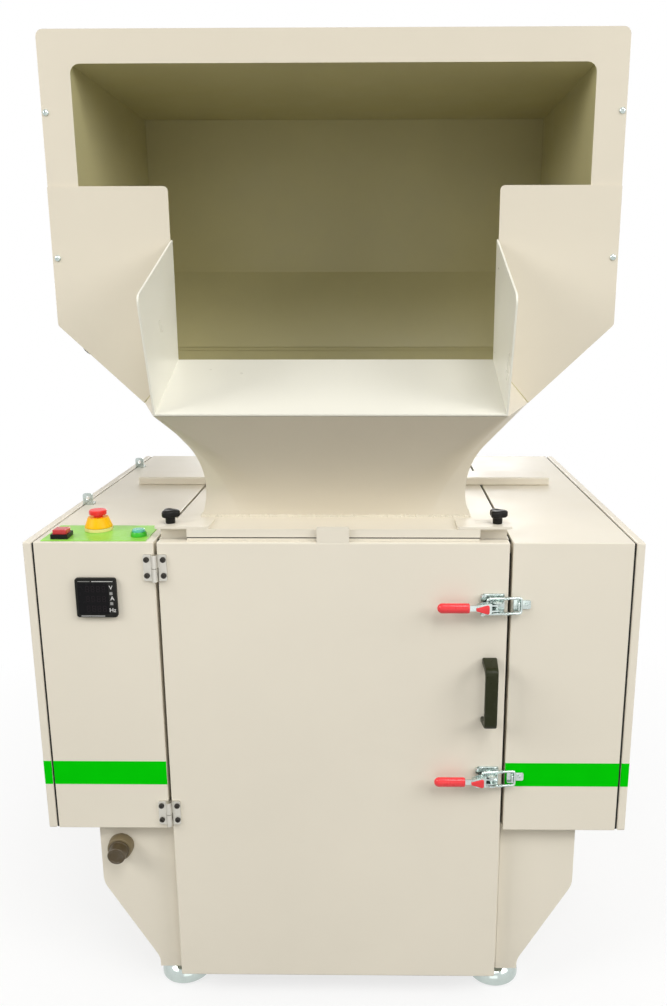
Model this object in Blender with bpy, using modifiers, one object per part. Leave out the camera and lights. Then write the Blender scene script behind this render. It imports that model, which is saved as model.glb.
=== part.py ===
"""Plastic granulator with a raised feed hopper, two side cabinets and a hinged front door.

Metres, +Z up. X runs to the right, Y to the back. Sizes are measured from the front face of the
cabinets (y = 0) and the floor (z = 0), and the datum empty then centres the machine in depth.
"""

import math

import bmesh
import bpy
from mathutils import Matrix, Vector

# Overall sizes
BODY_HALF = 0.538
BODY_DEPTH = 0.830
BODY_TOP = 0.941
CABINET_BOTTOM = 0.385
CABINET_INNER = 0.311
BASE_BOTTOM = 0.060
SIDE_PANEL = 0.015
SEAT = 0.0003
SHEET = 0.003
OVERCUT = 0.100

# Seam between a cabinet and its side panel
SEAM_WIDTH = 0.0035
SEAM_DEPTH = 0.014

# Bay and top plate
DECK = 0.012
DECK_HALF = 0.306
BAY_FRONT = 0.027
BAY_SHEET = 0.012
LEDGE_INNER = 0.300

# Base wings
WING_HALF = 0.452
WING_FRONT = 0.025
WING_SHOULDER = 0.250
WING_FOOT_HALF = 0.352
WING_FOOT_RISE = 0.020
WING_ROUND = 0.045
WING_FOOT_ROUND = 0.040

# Door
DOOR_HALF = 0.3053
DOOR_DEPTH = 0.022
DOOR_BOTTOM = 0.062
DOOR_TAB_HALF = 0.028
DOOR_TAB_RISE = 0.028

# Door hinges
HINGE_X = -0.309
HINGE_Y = -0.0065
HINGE_Z = (0.896, 0.419)
HINGE_HALF = 0.024
HINGE_REACH = 0.0205
HINGE_SHEET = 0.0027
HINGE_BARREL = 0.0055
HINGE_PIN = 0.0025
HINGE_PLAY = 0.0004

# Door handle
HANDLE_X = 0.276
HANDLE_Z = (0.603, 0.733)
HANDLE_REACH = 0.045
HANDLE_WIDTH = 0.027
HANDLE_BAR = 0.012

# Feet
FOOT_X = 0.315
FOOT_INSET = 0.091
FOOT_RADIUS = 0.050
FOOT_RUBBER = 0.010
FOOT_DOME = 0.038
FOOT_STEM = 0.011

# Chute, flange and clamps
THROAT_HALF = 0.239
THROAT_FRONT = 0.106
THROAT_BACK = 0.374
CHUTE_HALF = 0.252
CHUTE_FRONT = 0.092
CHUTE_BACK = 0.388
CHUTE_WALL = 0.006
CHUTE_BOTTOM = 0.560
FLANGE_HALF = 0.255
FLANGE_FRONT = 0.009
FLANGE_BACK = 0.400
FLANGE_BOTTOM = 0.948
FLANGE_TOP = 0.962
STRAP_SHEET = 0.004
STRAP_X = (0.215, 0.310)
STRAP_Y = (0.010, 0.070)
BLOCK_X = (0.257, 0.303)
KNOB_X = 0.287
KNOB_Y = 0.036
KNOB_RADIUS = 0.0175
KNOB_STEM = 0.0085
KNOB_HEIGHT = 0.024
KNOB_LOBE = 0.16

# Rear deck bar
DECK_BAR_HALF = 0.460
DECK_BAR_Y = (0.465, 0.545)
DECK_BAR_TOP = 0.959

# Hopper funnel
FUNNEL_SHEET = 0.005
FUNNEL_TOP = 1.2413
WAIST_HALF = 0.237
WAIST_Z = 1.003
WAIST_RADIUS = 0.118
FLANK_ANGLE = math.radians(46.5)
NECK_FRONT = 0.100
NECK_BACK = 0.380
NECK_FOLD = 0.125
BACK_BEND_Z = 1.000
SKIRT_TOP = 1.1635
SKIRT_FRONT = -0.0315
SKIRT_POWER = 1.5
SKIRT_LEVELS = 12
FOLD_SOFT = (0.006, 0.100)
GUSSET_Z = 1.2383

# Hopper box
HOPPER_HALF = 0.500
HOPPER_INNER = 0.446
HOPPER_FRONT = 0.158
HOPPER_BACK = 0.700
HOPPER_WALL = 0.052
HOPPER_TOP = 1.792
HOPPER_CEILING = 1.738
HOPPER_CREASE = 1.408
HOPPER_LEG_Z = 1.262
MOUTH_ROUND = 0.016
FACE_ROUND = 0.012

# Feed tray and cheeks
TRAY_INNER = 0.286
TRAY_LIP = (-0.033, 1.167)
TRAY_BACK_Z = 1.242
TRAY_FRONT = (-0.0943, 1.3540)
TRAY_BACK_TOP = 1.451
TRAY_ROUND = 0.014
CHEEK_TOP = 1.541

# Toggle latches
LATCH_Z = (0.830, 0.497)
LEVER_PIVOT = (0.284, -0.016)
BAIL_PIVOT = (0.268, -0.013)
LATCH_BASE_X = (0.236, 0.300)
LATCH_BASE_HALF = 0.020
LATCH_SHEET = 0.0025
LATCH_PIN = 0.0025
PIN_PLAY = 0.0004
EAR_Z = 0.009
EAR_RADIUS = 0.0079
ARM_Z = 0.005
ARM_ROUND = 0.0062
WEB_Y = (-0.0225, -0.0200)
TRIGGER_X = (0.249, 0.274)
GRIP_X = (0.180, 0.236)
GRIP_Y = -0.022
GRIP_HALF = (0.007, 0.009)
BAIL_ROD = 0.00225
BAIL_TIP = 0.004
BAIL_HALF = 0.014
BAIL_BAR = (0.3275, -0.008)
BAIL_BEND = 0.004
CATCH_X = (0.314, 0.345)
CATCH_HALF = 0.013
TONGUE_X = (0.321, 0.324)
TONGUE_RISE = 0.014
TONGUE_HALF = 0.008

# Control group
PLATE_EDGES = (0.014, 0.030)
PLATE_Y = (0.006, 0.108)
PLATE_SHEET = 0.0012
STOP_SIDE = 0.0115
STOP_Y = 0.078
STOP_COLLAR = 0.024
STOP_STROKE = 0.004
RED_INSET = 0.060
RED_Y = 0.028
GREEN_INSET = 0.034
GREEN_Y = 0.038
BUTTON_STROKE = 0.003
METER_SIDE = 0.0105
METER_SIZE = 0.072
METER_TOP = 0.063
METER_DEPTH = 0.008
PORT_INSET = 0.040
PORT_DROP = 0.052
PORT_LENGTH = 0.039

# Small fittings
CLIP_INSET = 0.026
CLIP_Y = (0.276, 0.670)
CLIP_HALF = 0.010
CLIP_HEIGHT = 0.024
BUFFER_Y = 0.240
BUFFER_Z = 1.268

OUTER_FACE = BODY_HALF - SIDE_PANEL - SEAT
TRAY_OUTER = TRAY_INNER + SHEET
TRAY_TILT = (TRAY_BACK_Z - TRAY_LIP[1]) / (HOPPER_FRONT - TRAY_LIP[0])
PLATE_X = (PLATE_EDGES[1] - BODY_HALF, -CABINET_INNER - PLATE_EDGES[0])
STOP_AT = ((PLATE_X[0] + PLATE_X[1]) / 2 - STOP_SIDE, STOP_Y)
RED_AT = (RED_INSET - BODY_HALF, RED_Y)
GREEN_AT = (-CABINET_INNER - GREEN_INSET, GREEN_Y)
METER_AT = (METER_SIDE - (BODY_HALF + CABINET_INNER) / 2, BODY_TOP - METER_TOP - METER_SIZE / 2)
PORT_X = PORT_INSET - WING_HALF
PORT_Z = CABINET_BOTTOM - PORT_DROP
CLIP_X = CLIP_INSET - BODY_HALF
FUNNEL_BOTTOM = FLANGE_TOP + SEAT
SHOULDER_Z = WAIST_Z + WAIST_RADIUS * math.sin(FLANK_ANGLE)
SHOULDER_HALF = WAIST_HALF + WAIST_RADIUS * (1 - math.cos(FLANK_ANGLE))
SEAT_Z = FUNNEL_TOP + SEAT
BACK_SLOPE = (HOPPER_BACK - NECK_BACK) / (HOPPER_CREASE - BACK_BEND_Z)

for old in list(bpy.data.objects):
    bpy.data.objects.remove(old, do_unlink=True)

PARTS = bpy.data.collections.new("plastic_granulator")
CUTTERS = bpy.data.collections.new("cutters")
for group in (PARTS, CUTTERS):
    bpy.context.scene.collection.children.link(group)


def make_material(name, colour, roughness, metallic=0.0):
    """A Principled material of one colour."""
    material = bpy.data.materials.new(name)
    material.use_nodes = True
    shader = material.node_tree.nodes["Principled BSDF"]
    shader.inputs["Base Color"].default_value = (*colour, 1.0)
    shader.inputs["Roughness"].default_value = roughness
    shader.inputs["Metallic"].default_value = metallic
    material.diffuse_color = (*colour, 1.0)
    return material


IVORY = make_material("ivory_paint", (0.73, 0.66, 0.53), 0.45)
ZINC = make_material("zinc_plate", (0.62, 0.65, 0.64), 0.35, 0.9)
CHROME = make_material("chrome", (0.70, 0.70, 0.70), 0.18, 1.0)
BLACK = make_material("black_plastic", (0.02, 0.02, 0.02), 0.5)
RED = make_material("red_plastic", (0.83, 0.03, 0.03), 0.4)
YELLOW = make_material("yellow_plastic", (1.0, 0.52, 0.0), 0.4)
GREEN = make_material("green_plastic", (0.02, 0.50, 0.08), 0.35)

AXES = {}


def add_axis(name, place, parent=None):
    """An empty on a joint's axis, placed by machine coordinates."""
    empty = bpy.data.objects.new(name, None)
    empty.empty_display_size = 0.05
    PARTS.objects.link(empty)
    AXES[name] = Vector(place)
    if parent is not None:
        empty.parent = bpy.data.objects[parent]
        empty.location = Vector(place) - AXES[parent]
    return empty


def attach(obj, place, parent="machine_datum"):
    """Parents an object to an axis and puts its origin at a machine coordinate."""
    obj.parent = bpy.data.objects[parent]
    obj.location = Vector(place) - AXES[parent]
    return obj


def new_object(name, mesh, material, cutter=False):
    """Links a mesh object with its material, or keeps a cutter out of the model."""
    obj = bpy.data.objects.new(name, mesh)
    (CUTTERS if cutter else PARTS).objects.link(obj)
    if cutter:
        obj.hide_render = True
        obj.display_type = "WIRE"
    else:
        mesh.materials.append(material)
    return obj


def box(name, low, high, material=None, parent="machine_datum"):
    """A cuboid between two corners in machine coordinates; without a material it is a cutter."""
    low, high = Vector(low), Vector(high)
    shape = bmesh.new()
    bmesh.ops.create_cube(shape, size=1.0, matrix=Matrix.Diagonal((*(high - low), 1.0)))
    mesh = bpy.data.meshes.new(name)
    shape.to_mesh(mesh)
    shape.free()
    return attach(new_object(name, mesh, material, material is None), (low + high) / 2, parent)


def add_bevel(obj, width, segments=2, angle=40):
    """Rounds the edges sharper than an angle."""
    bevel = obj.modifiers.new("rounded_edges", "BEVEL")
    bevel.width = width
    bevel.segments = segments
    bevel.limit_method = "ANGLE"
    bevel.angle_limit = math.radians(angle)
    return obj


def add_boolean(obj, other, operation="DIFFERENCE"):
    """Cuts or joins another object."""
    boolean = obj.modifiers.new(other.name, "BOOLEAN")
    boolean.operation = operation
    boolean.solver = "EXACT"
    boolean.object = other
    return obj


PLANES = {
    "XY": Matrix.Identity(4),
    "XZ": Matrix.Rotation(math.radians(90), 4, "X"),
    "YZ": Matrix(((0, 0, 1, 0), (1, 0, 0, 0), (0, 1, 0, 0), (0, 0, 0, 1))),
}


def rounded(corners, radii, steps=4):
    """Outline points with each corner turned into an arc of its radius."""
    if not isinstance(radii, (list, tuple)):
        radii = [radii] * len(corners)
    points = []
    for index, corner in enumerate(corners):
        here = Vector(corner)
        if not radii[index]:
            points.append(tuple(here))
            continue
        before = (Vector(corners[index - 1]) - here).normalized()
        after = (Vector(corners[(index + 1) % len(corners)]) - here).normalized()
        half = before.angle(after) / 2
        centre = here + (before + after).normalized() * radii[index] / math.sin(half)
        start = here + before * radii[index] / math.tan(half) - centre
        end = here + after * radii[index] / math.tan(half) - centre
        sweep = math.atan2(start.x * end.y - start.y * end.x, start.dot(end))
        for step in range(steps + 1):
            turn = sweep * step / steps
            across = start.x * math.cos(turn) - start.y * math.sin(turn)
            up = start.x * math.sin(turn) + start.y * math.cos(turn)
            points.append((centre.x + across, centre.y + up))
    return points


def mirrored(points):
    """An outline on the other side of the machine."""
    return [(-across, up) for across, up in points]


def circle(across, up, radius, sides):
    """Points round a circle."""
    turns = [2 * math.pi * i / sides for i in range(sides)]
    return [(across + radius * math.cos(t), up + radius * math.sin(t)) for t in turns]


def rectangle(half, front, back):
    """Corners of a rectangle on the machine's centre line."""
    return [(-half, front), (half, front), (half, back), (-half, back)]


def mesh_of(curve, name, matrix):
    """The closed mesh of a curve, turned by a matrix."""
    source = bpy.data.objects.new(name + "_curve", curve)
    bpy.context.scene.collection.objects.link(source)
    bpy.context.view_layer.update()
    mesh = bpy.data.meshes.new_from_object(source.evaluated_get(bpy.context.evaluated_depsgraph_get()))
    bpy.data.objects.remove(source, do_unlink=True)
    shape = bmesh.new()
    shape.from_mesh(mesh)
    bmesh.ops.remove_doubles(shape, verts=shape.verts, dist=0.00001)
    bmesh.ops.transform(shape, matrix=matrix, verts=shape.verts)
    bmesh.ops.recalc_face_normals(shape, faces=shape.faces)
    shape.to_mesh(mesh)
    shape.free()
    mesh.materials.clear()
    mesh.name = name
    return mesh


def plate(name, outlines, plane, centre, thickness, material=None, parent="machine_datum"):
    """A flat plate: the first outline is its edge and the others are holes through it."""
    curve = bpy.data.curves.new(name, "CURVE")
    curve.dimensions = "2D"
    curve.fill_mode = "BOTH"
    curve.extrude = thickness / 2
    for outline in outlines:
        spline = curve.splines.new("POLY")
        spline.points.add(len(outline) - 1)
        for point, (across, up) in zip(spline.points, outline):
            point.co = (across, up, 0.0, 1.0)
        spline.use_cyclic_u = True
    mesh = mesh_of(curve, name, PLANES[plane])
    return attach(new_object(name, mesh, material, material is None), centre, parent)


def rod(name, points, radius, material, place, parent):
    """A bent rod along machine coordinates."""
    curve = bpy.data.curves.new(name, "CURVE")
    curve.dimensions = "3D"
    curve.bevel_depth = radius
    curve.bevel_resolution = 3
    curve.use_fill_caps = True
    spline = curve.splines.new("POLY")
    spline.points.add(len(points) - 1)
    for point, at in zip(spline.points, points):
        point.co = (*(Vector(at) - Vector(place)), 1.0)
    mesh = mesh_of(curve, name, Matrix.Identity(4))
    mesh.shade_smooth()
    mesh.set_sharp_from_angle(angle=math.radians(50))
    return attach(new_object(name, mesh, material), place, parent)


def turned(name, profile, place, material=None, steps=24, parent="machine_datum"):
    """A turned solid whose radius and height profile runs from the top down its outer side."""
    mesh = bpy.data.meshes.new(name)
    edges = [(i, i + 1) for i in range(len(profile) - 1)]
    if profile[0][0] > 0.0:
        edges.append((len(profile) - 1, 0))
    mesh.from_pydata([(radius, 0.0, height) for radius, height in profile], edges, [])
    obj = attach(new_object(name, mesh, material, material is None), place, parent)
    screw = obj.modifiers.new("turn", "SCREW")
    screw.steps = steps
    screw.render_steps = steps
    screw.use_merge_vertices = True
    screw.merge_threshold = 0.00001
    screw.use_smooth_shade = True
    return obj


def flank_half(z):
    """Half width of the hopper's bent flanks: a waist arc and then a straight slope."""
    if z > SHOULDER_Z:
        return SHOULDER_HALF + (z - SHOULDER_Z) * math.tan(FLANK_ANGLE)
    return WAIST_HALF + WAIST_RADIUS * (1 - math.cos(math.asin((z - WAIST_Z) / WAIST_RADIUS)))


def slope_z(half):
    """Height at which the flank's straight slope reaches a half width."""
    return SHOULDER_Z + (half - SHOULDER_HALF) / math.tan(FLANK_ANGLE)


def back_at(z):
    """Depth of the hopper's sloping back, outside."""
    return NECK_BACK + max(0.0, z - BACK_BEND_Z) * BACK_SLOPE


def sides():
    """The two sides of the machine with their sign in X."""
    return (("left", -1), ("right", 1))


def span(sign, low, high):
    """A range of X on one side, in rising order."""
    return sorted((sign * low, sign * high))


def base():
    """The tapered housings under the cabinets and the four bell-shaped feet."""
    corners = [
        (CABINET_INNER, BASE_BOTTOM),
        (WING_FOOT_HALF, BASE_BOTTOM),
        (WING_FOOT_HALF, BASE_BOTTOM + WING_FOOT_RISE),
        (WING_HALF, WING_SHOULDER),
        (WING_HALF, CABINET_BOTTOM - SEAT),
        (CABINET_INNER, CABINET_BOTTOM - SEAT),
    ]
    outline = rounded(corners, [0, 0, WING_FOOT_ROUND, WING_ROUND, 0, 0])
    middle = (0.0, BODY_DEPTH / 2, 0.0)
    for side, sign in sides():
        points = outline if sign > 0 else mirrored(outline)
        depth = BODY_DEPTH - 2 * WING_FRONT
        plate(f"base_wing_{side}", [points], "XZ", middle, depth, IVORY)
        for row, y in (("front", FOOT_INSET), ("rear", BODY_DEPTH - FOOT_INSET)):
            profile = [(0.0, BASE_BOTTOM - SEAT), (FOOT_STEM, BASE_BOTTOM - SEAT), (FOOT_STEM, FOOT_DOME + 0.004)]
            shoulder = FOOT_STEM + 0.006
            for step in range(7):
                turn = math.radians(90) * step / 6
                radius = shoulder + (FOOT_RADIUS - shoulder) * math.sin(turn)
                profile.append((radius, FOOT_RUBBER + (FOOT_DOME - FOOT_RUBBER) * math.cos(turn)))
            profile += [(FOOT_RADIUS - 0.002, FOOT_RUBBER - 0.001), (FOOT_RADIUS - 0.002, 0.0), (0.0, 0.0)]
            turned(f"foot_{row}_{side}", profile, (sign * FOOT_X, y, 0.0), CHROME, 28)


def cabinets():
    """The closed side cabinets, each with a lift-off side panel behind a dark seam."""
    seam = [
        (-0.010, CABINET_BOTTOM - 0.010),
        (SEAM_DEPTH, CABINET_BOTTOM - 0.010),
        (SEAM_DEPTH, BODY_TOP - SEAM_DEPTH),
        (BODY_DEPTH + 0.010, BODY_TOP - SEAM_DEPTH),
        (BODY_DEPTH + 0.010, BODY_TOP + 0.010),
        (-0.010, BODY_TOP + 0.010),
    ]
    for side, sign in sides():
        xs = span(sign, CABINET_INNER, OUTER_FACE)
        body = box(f"cabinet_{side}", (xs[0], 0.0, CABINET_BOTTOM), (xs[1], BODY_DEPTH, BODY_TOP), IVORY)
        at = (sign * OUTER_FACE, 0.0, 0.0)
        add_boolean(body, plate(f"seam_{side}", [seam], "YZ", at, 2 * SEAM_WIDTH))
        xs = span(sign, LEDGE_INNER, CABINET_INNER + 0.002)
        low = (xs[0], BAY_FRONT + 0.001, BODY_TOP - DECK - SEAT - 0.012)
        high = (xs[1], BODY_DEPTH - BAY_SHEET - 0.003, BODY_TOP - DECK - SEAT)
        add_boolean(body, box(f"ledge_{side}", low, high), "UNION")
        add_bevel(body, 0.0015)
        xs = span(sign, BODY_HALF - SIDE_PANEL, BODY_HALF)
        low, high = (xs[0], 0.0, CABINET_BOTTOM), (xs[1], BODY_DEPTH, BODY_TOP)
        add_bevel(box(f"side_panel_{side}", low, high, IVORY), 0.0025)


def bay():
    """The centre of the machine: floor and back in one sheet, the top plate and the chute."""
    inner = CABINET_INNER - SEAT
    lining = [
        (BAY_FRONT, BASE_BOTTOM),
        (BODY_DEPTH, BASE_BOTTOM),
        (BODY_DEPTH, BODY_TOP - DECK - SEAT),
        (BODY_DEPTH - BAY_SHEET, BODY_TOP - DECK - SEAT),
        (BODY_DEPTH - BAY_SHEET, BASE_BOTTOM + BAY_SHEET),
        (BAY_FRONT, BASE_BOTTOM + BAY_SHEET),
    ]
    plate("bay_lining", [lining], "YZ", (0.0, 0.0, 0.0), 2 * inner, IVORY)
    top = box("top_plate", (-DECK_HALF, BAY_FRONT, BODY_TOP - DECK), (DECK_HALF, BODY_DEPTH, BODY_TOP), IVORY)
    low = (-CHUTE_HALF - SEAT, CHUTE_FRONT - SEAT, BODY_TOP - 2 * DECK)
    high = (CHUTE_HALF + SEAT, CHUTE_BACK + SEAT, BODY_TOP + DECK)
    add_boolean(top, box("top_plate_hole", low, high))
    outer = rectangle(CHUTE_HALF, CHUTE_FRONT, CHUTE_BACK)
    inside = rectangle(CHUTE_HALF - CHUTE_WALL, CHUTE_FRONT + CHUTE_WALL, CHUTE_BACK - CHUTE_WALL)
    rim = FLANGE_BOTTOM - SEAT
    at = (0.0, 0.0, (rim + CHUTE_BOTTOM) / 2)
    plate("chamber_chute", [outer, inside], "XY", at, rim - CHUTE_BOTTOM, IVORY)


def deck():
    """The neck flange, its two clamp straps with star knobs, and the rear deck bar."""
    edge = rounded(rectangle(FLANGE_HALF, FLANGE_FRONT, FLANGE_BACK), 0.003, 2)
    hole = rectangle(THROAT_HALF, THROAT_FRONT, THROAT_BACK)
    at = (0.0, 0.0, (FLANGE_BOTTOM + FLANGE_TOP) / 2)
    plate("neck_flange", [edge, hole], "XY", at, FLANGE_TOP - FLANGE_BOTTOM, IVORY)
    low, high = FLANGE_TOP + SEAT, FLANGE_TOP + SEAT + STRAP_SHEET
    for side, sign in sides():
        xs = span(sign, *STRAP_X)
        corners = [(xs[0], STRAP_Y[0]), (xs[1], STRAP_Y[0]), (xs[1], STRAP_Y[1]), (xs[0], STRAP_Y[1])]
        outline = rounded(corners, 0.004, 2)
        strap = plate(f"clamp_strap_{side}", [outline], "XY", (0.0, 0.0, (low + high) / 2), STRAP_SHEET, IVORY)
        xs = span(sign, *BLOCK_X)
        corner = (xs[1], STRAP_Y[1] - 0.001, low + STRAP_SHEET / 2)
        block = box(f"clamp_block_{side}", (xs[0], BAY_FRONT, BODY_TOP + SEAT), corner)
        add_boolean(strap, block, "UNION")
        star_knob(side, (sign * KNOB_X, KNOB_Y, high + SEAT))
    low = (-DECK_BAR_HALF, DECK_BAR_Y[0], BODY_TOP + SEAT)
    add_bevel(box("deck_bar", low, (DECK_BAR_HALF, DECK_BAR_Y[1], DECK_BAR_TOP), IVORY), 0.003)


def star_knob(side, place):
    """A three-lobed hand knob on a short stem."""
    axis = f"star_knob_{side}_axis"
    add_axis(axis, place, "machine_datum")
    lobes = []
    for step in range(36):
        turn = 2 * math.pi * step / 36
        radius = KNOB_RADIUS * (1 - KNOB_LOBE + KNOB_LOBE * math.cos(3 * turn))
        lobes.append((radius * math.cos(turn), radius * math.sin(turn)))
    head = KNOB_HEIGHT - 0.011
    centre = (place[0], place[1], place[2] + KNOB_HEIGHT - head / 2)
    knob = plate(f"star_knob_{side}", [lobes], "XY", (0.0, 0.0, 0.0), head, BLACK, axis)
    attach(knob, centre, axis)
    add_bevel(knob, 0.002, 2, 60)
    profile = [(0.0, 0.013), (KNOB_STEM, 0.013), (KNOB_STEM, 0.0), (0.0, 0.0)]
    add_boolean(knob, turned(f"star_knob_{side}_stem", profile, place, None, 16, axis), "UNION")


def hopper():
    """The upper box of the hopper: face frame, double-skinned shell and creased back."""
    leg_out = flank_half(SEAT_Z)
    leg_in = leg_out - 0.0067
    frame = [
        (HOPPER_HALF, HOPPER_TOP),
        (HOPPER_HALF, slope_z(HOPPER_HALF)),
        (leg_out, SEAT_Z),
        (leg_in, SEAT_Z),
        (HOPPER_INNER, HOPPER_LEG_Z),
        (HOPPER_INNER, HOPPER_CEILING),
    ]
    frame += mirrored(frame)[::-1]
    radii = [FACE_ROUND, 0, 0, 0, 0, MOUTH_ROUND]
    outline = rounded(frame, radii + radii[::-1])
    plate("hopper_face", [outline], "XZ", (0.0, HOPPER_FRONT + SHEET / 2, 0.0), SHEET, IVORY)
    radii[-1] = 0
    outline = rounded(frame, radii + radii[::-1])
    front = HOPPER_FRONT + SHEET + SEAT
    at = (0.0, (front + HOPPER_BACK) / 2, 0.0)
    shell = plate("hopper_shell", [outline], "XZ", at, HOPPER_BACK - front, IVORY)
    low = SEAT_Z - 0.010
    slope = [
        (HOPPER_BACK, HOPPER_CREASE),
        (back_at(low), low),
        (HOPPER_BACK + 0.050, low),
        (HOPPER_BACK + 0.050, HOPPER_CREASE),
    ]
    add_boolean(shell, plate("shell_slope", [slope], "YZ", (0.0, 0.0, 0.0), 3 * HOPPER_HALF))
    inside = HOPPER_BACK - HOPPER_WALL
    section = [
        (inside, HOPPER_CEILING - SEAT),
        (HOPPER_BACK, HOPPER_CEILING - SEAT),
        (HOPPER_BACK, HOPPER_CREASE),
        (back_at(SEAT_Z), SEAT_Z),
        (back_at(SEAT_Z) - 0.008, SEAT_Z),
        (inside, HOPPER_CREASE),
    ]
    half = HOPPER_INNER - SEAT
    back = plate("hopper_back", [section], "YZ", (0.0, 0.0, 0.0), 2 * half, IVORY)
    run = (HOPPER_INNER - leg_in) / (HOPPER_LEG_Z - SEAT_Z)
    corner = [
        (half, HOPPER_LEG_Z),
        (half - run * (HOPPER_LEG_Z - low), low),
        (HOPPER_HALF, low),
        (HOPPER_HALF, HOPPER_LEG_Z),
    ]
    for side, sign in sides():
        points = corner if sign > 0 else mirrored(corner)
        add_boolean(back, plate(f"back_corner_{side}", [points], "XZ", at, 2 * HOPPER_BACK))


def funnel_ring(z, inset):
    """Left half of the funnel's outline at a height, from the back corner round to the front."""
    rise = (z - FUNNEL_BOTTOM) / (SKIRT_TOP - FUNNEL_BOTTOM)
    front = NECK_FRONT + (SKIRT_FRONT - NECK_FRONT) * rise**SKIRT_POWER + inset
    shoulder = NECK_FRONT + (HOPPER_FRONT - NECK_FRONT) * rise + inset
    fold = NECK_FOLD + (TRAY_OUTER - NECK_FOLD) * rise - 0.8 * inset
    side = flank_half(z) - inset
    corner = Vector((-fold, front, z))
    flank = Vector((-side, shoulder, z))
    soft = FOLD_SOFT[0] + (FOLD_SOFT[1] - FOLD_SOFT[0]) * (1 - rise)
    ends = []
    for target in (flank, Vector((0.0, front, z))):
        reach = target - corner
        ends.append(corner + reach.normalized() * min(soft, 0.45 * reach.length))
    bend = []
    for step in range(5):
        t = step / 4
        bend.append(ends[0] * (1 - t) ** 2 + corner * 2 * t * (1 - t) + ends[1] * t**2)
    return [Vector((-side, back_at(z) - inset, z)), flank, *bend]


def funnel():
    """The folded lower hopper: a loft from the square neck to the skirt, flanks and gussets."""
    shape = bmesh.new()
    rims = []
    for inset in (0.0, FUNNEL_SHEET):
        rings = []
        for level in range(SKIRT_LEVELS + 1):
            z = SKIRT_TOP + (FUNNEL_BOTTOM - SKIRT_TOP) * level / SKIRT_LEVELS
            left = funnel_ring(z, inset)
            right = [Vector((-point.x, point.y, point.z)) for point in reversed(left)]
            rings.append([shape.verts.new(point) for point in left + right])
        for upper, lower in zip(rings, rings[1:]):
            for i in range(len(upper)):
                j = (i + 1) % len(upper)
                shape.faces.new((upper[i], upper[j], lower[j], lower[i]))
        side = flank_half(FUNNEL_TOP) - inset
        corners = []
        for sign in (-1, 1):
            back = shape.verts.new((sign * side, back_at(FUNNEL_TOP) - inset, FUNNEL_TOP))
            front = shape.verts.new((sign * side, HOPPER_FRONT + inset, FUNNEL_TOP))
            gusset = shape.verts.new((sign * (TRAY_OUTER - 0.8 * inset), HOPPER_FRONT + inset, GUSSET_Z))
            ring = rings[0][:5] if sign < 0 else rings[0][:-6:-1]
            shape.faces.new((back, front, ring[1], ring[0]))
            shape.faces.new((front, gusset, ring[1]))
            for near, far in zip(ring[1:], ring[2:]):
                shape.faces.new((gusset, far, near))
            corners.append((back, front, gusset))
        shape.faces.new((corners[0][0], corners[1][0], rings[0][-1], rings[0][0]))
        mouth = [*corners[0], *rings[0][4:10], *reversed(corners[1])]
        rims.append((mouth, rings[-1]))
    for outer, inner in zip(*rims):
        for i in range(len(outer)):
            j = (i + 1) % len(outer)
            shape.faces.new((outer[i], outer[j], inner[j], inner[i]))
    bmesh.ops.recalc_face_normals(shape, faces=shape.faces)
    mesh = bpy.data.meshes.new("hopper_funnel")
    shape.to_mesh(mesh)
    shape.free()
    mesh.shade_smooth()
    mesh.set_sharp_from_angle(angle=math.radians(20))
    attach(new_object("hopper_funnel", mesh, IVORY), (0.0, 0.0, 0.0))


def tray_side():
    """Outline of the feed tray seen from the side, with the rounded corner of its walls."""
    back = HOPPER_FRONT - SEAT
    turn = math.atan(TRAY_TILT)
    under = (TRAY_LIP[0] + SHEET * math.sin(turn), TRAY_LIP[1] - SHEET * math.cos(turn))
    wall = [
        (back, TRAY_BACK_TOP),
        TRAY_FRONT,
        TRAY_LIP,
        under,
        (back, under[1] + TRAY_TILT * (back - under[0])),
    ]
    return rounded(wall, [0, TRAY_ROUND, 0, 0, 0])


def tray():
    """The tilted feed tray and the cheek plates beside it."""
    tilt = TRAY_TILT
    body = plate("feed_tray", [tray_side()], "YZ", (0.0, 0.0, 0.0), 2 * TRAY_OUTER, IVORY)
    rear, front, above = HOPPER_FRONT + OVERCUT, TRAY_FRONT[0] - OVERCUT, TRAY_BACK_TOP + OVERCUT
    hollow = [
        (rear, TRAY_LIP[1] + tilt * (rear - TRAY_LIP[0])),
        (rear, above),
        (front, above),
        (front, TRAY_LIP[1] + tilt * (front - TRAY_LIP[0])),
    ]
    add_boolean(body, plate("tray_hollow", [hollow], "YZ", (0.0, 0.0, 0.0), 2 * TRAY_INNER))
    inner = TRAY_OUTER + SEAT
    cheek = [
        (HOPPER_HALF, CHEEK_TOP),
        (HOPPER_HALF, slope_z(HOPPER_HALF)),
        (flank_half(SKIRT_TOP + 0.001), SKIRT_TOP + 0.001),
        (inner, GUSSET_Z + 0.001),
        (inner, CHEEK_TOP),
    ]
    points = rounded(cheek, [0.003, 0.010, 0, 0, 0.008], 3)
    for side, sign in sides():
        outline = points if sign > 0 else mirrored(points)
        at = (0.0, HOPPER_FRONT - SEAT - SHEET / 2, 0.0)
        plate(f"cheek_{side}", [outline], "XZ", at, SHEET, IVORY)


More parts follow.
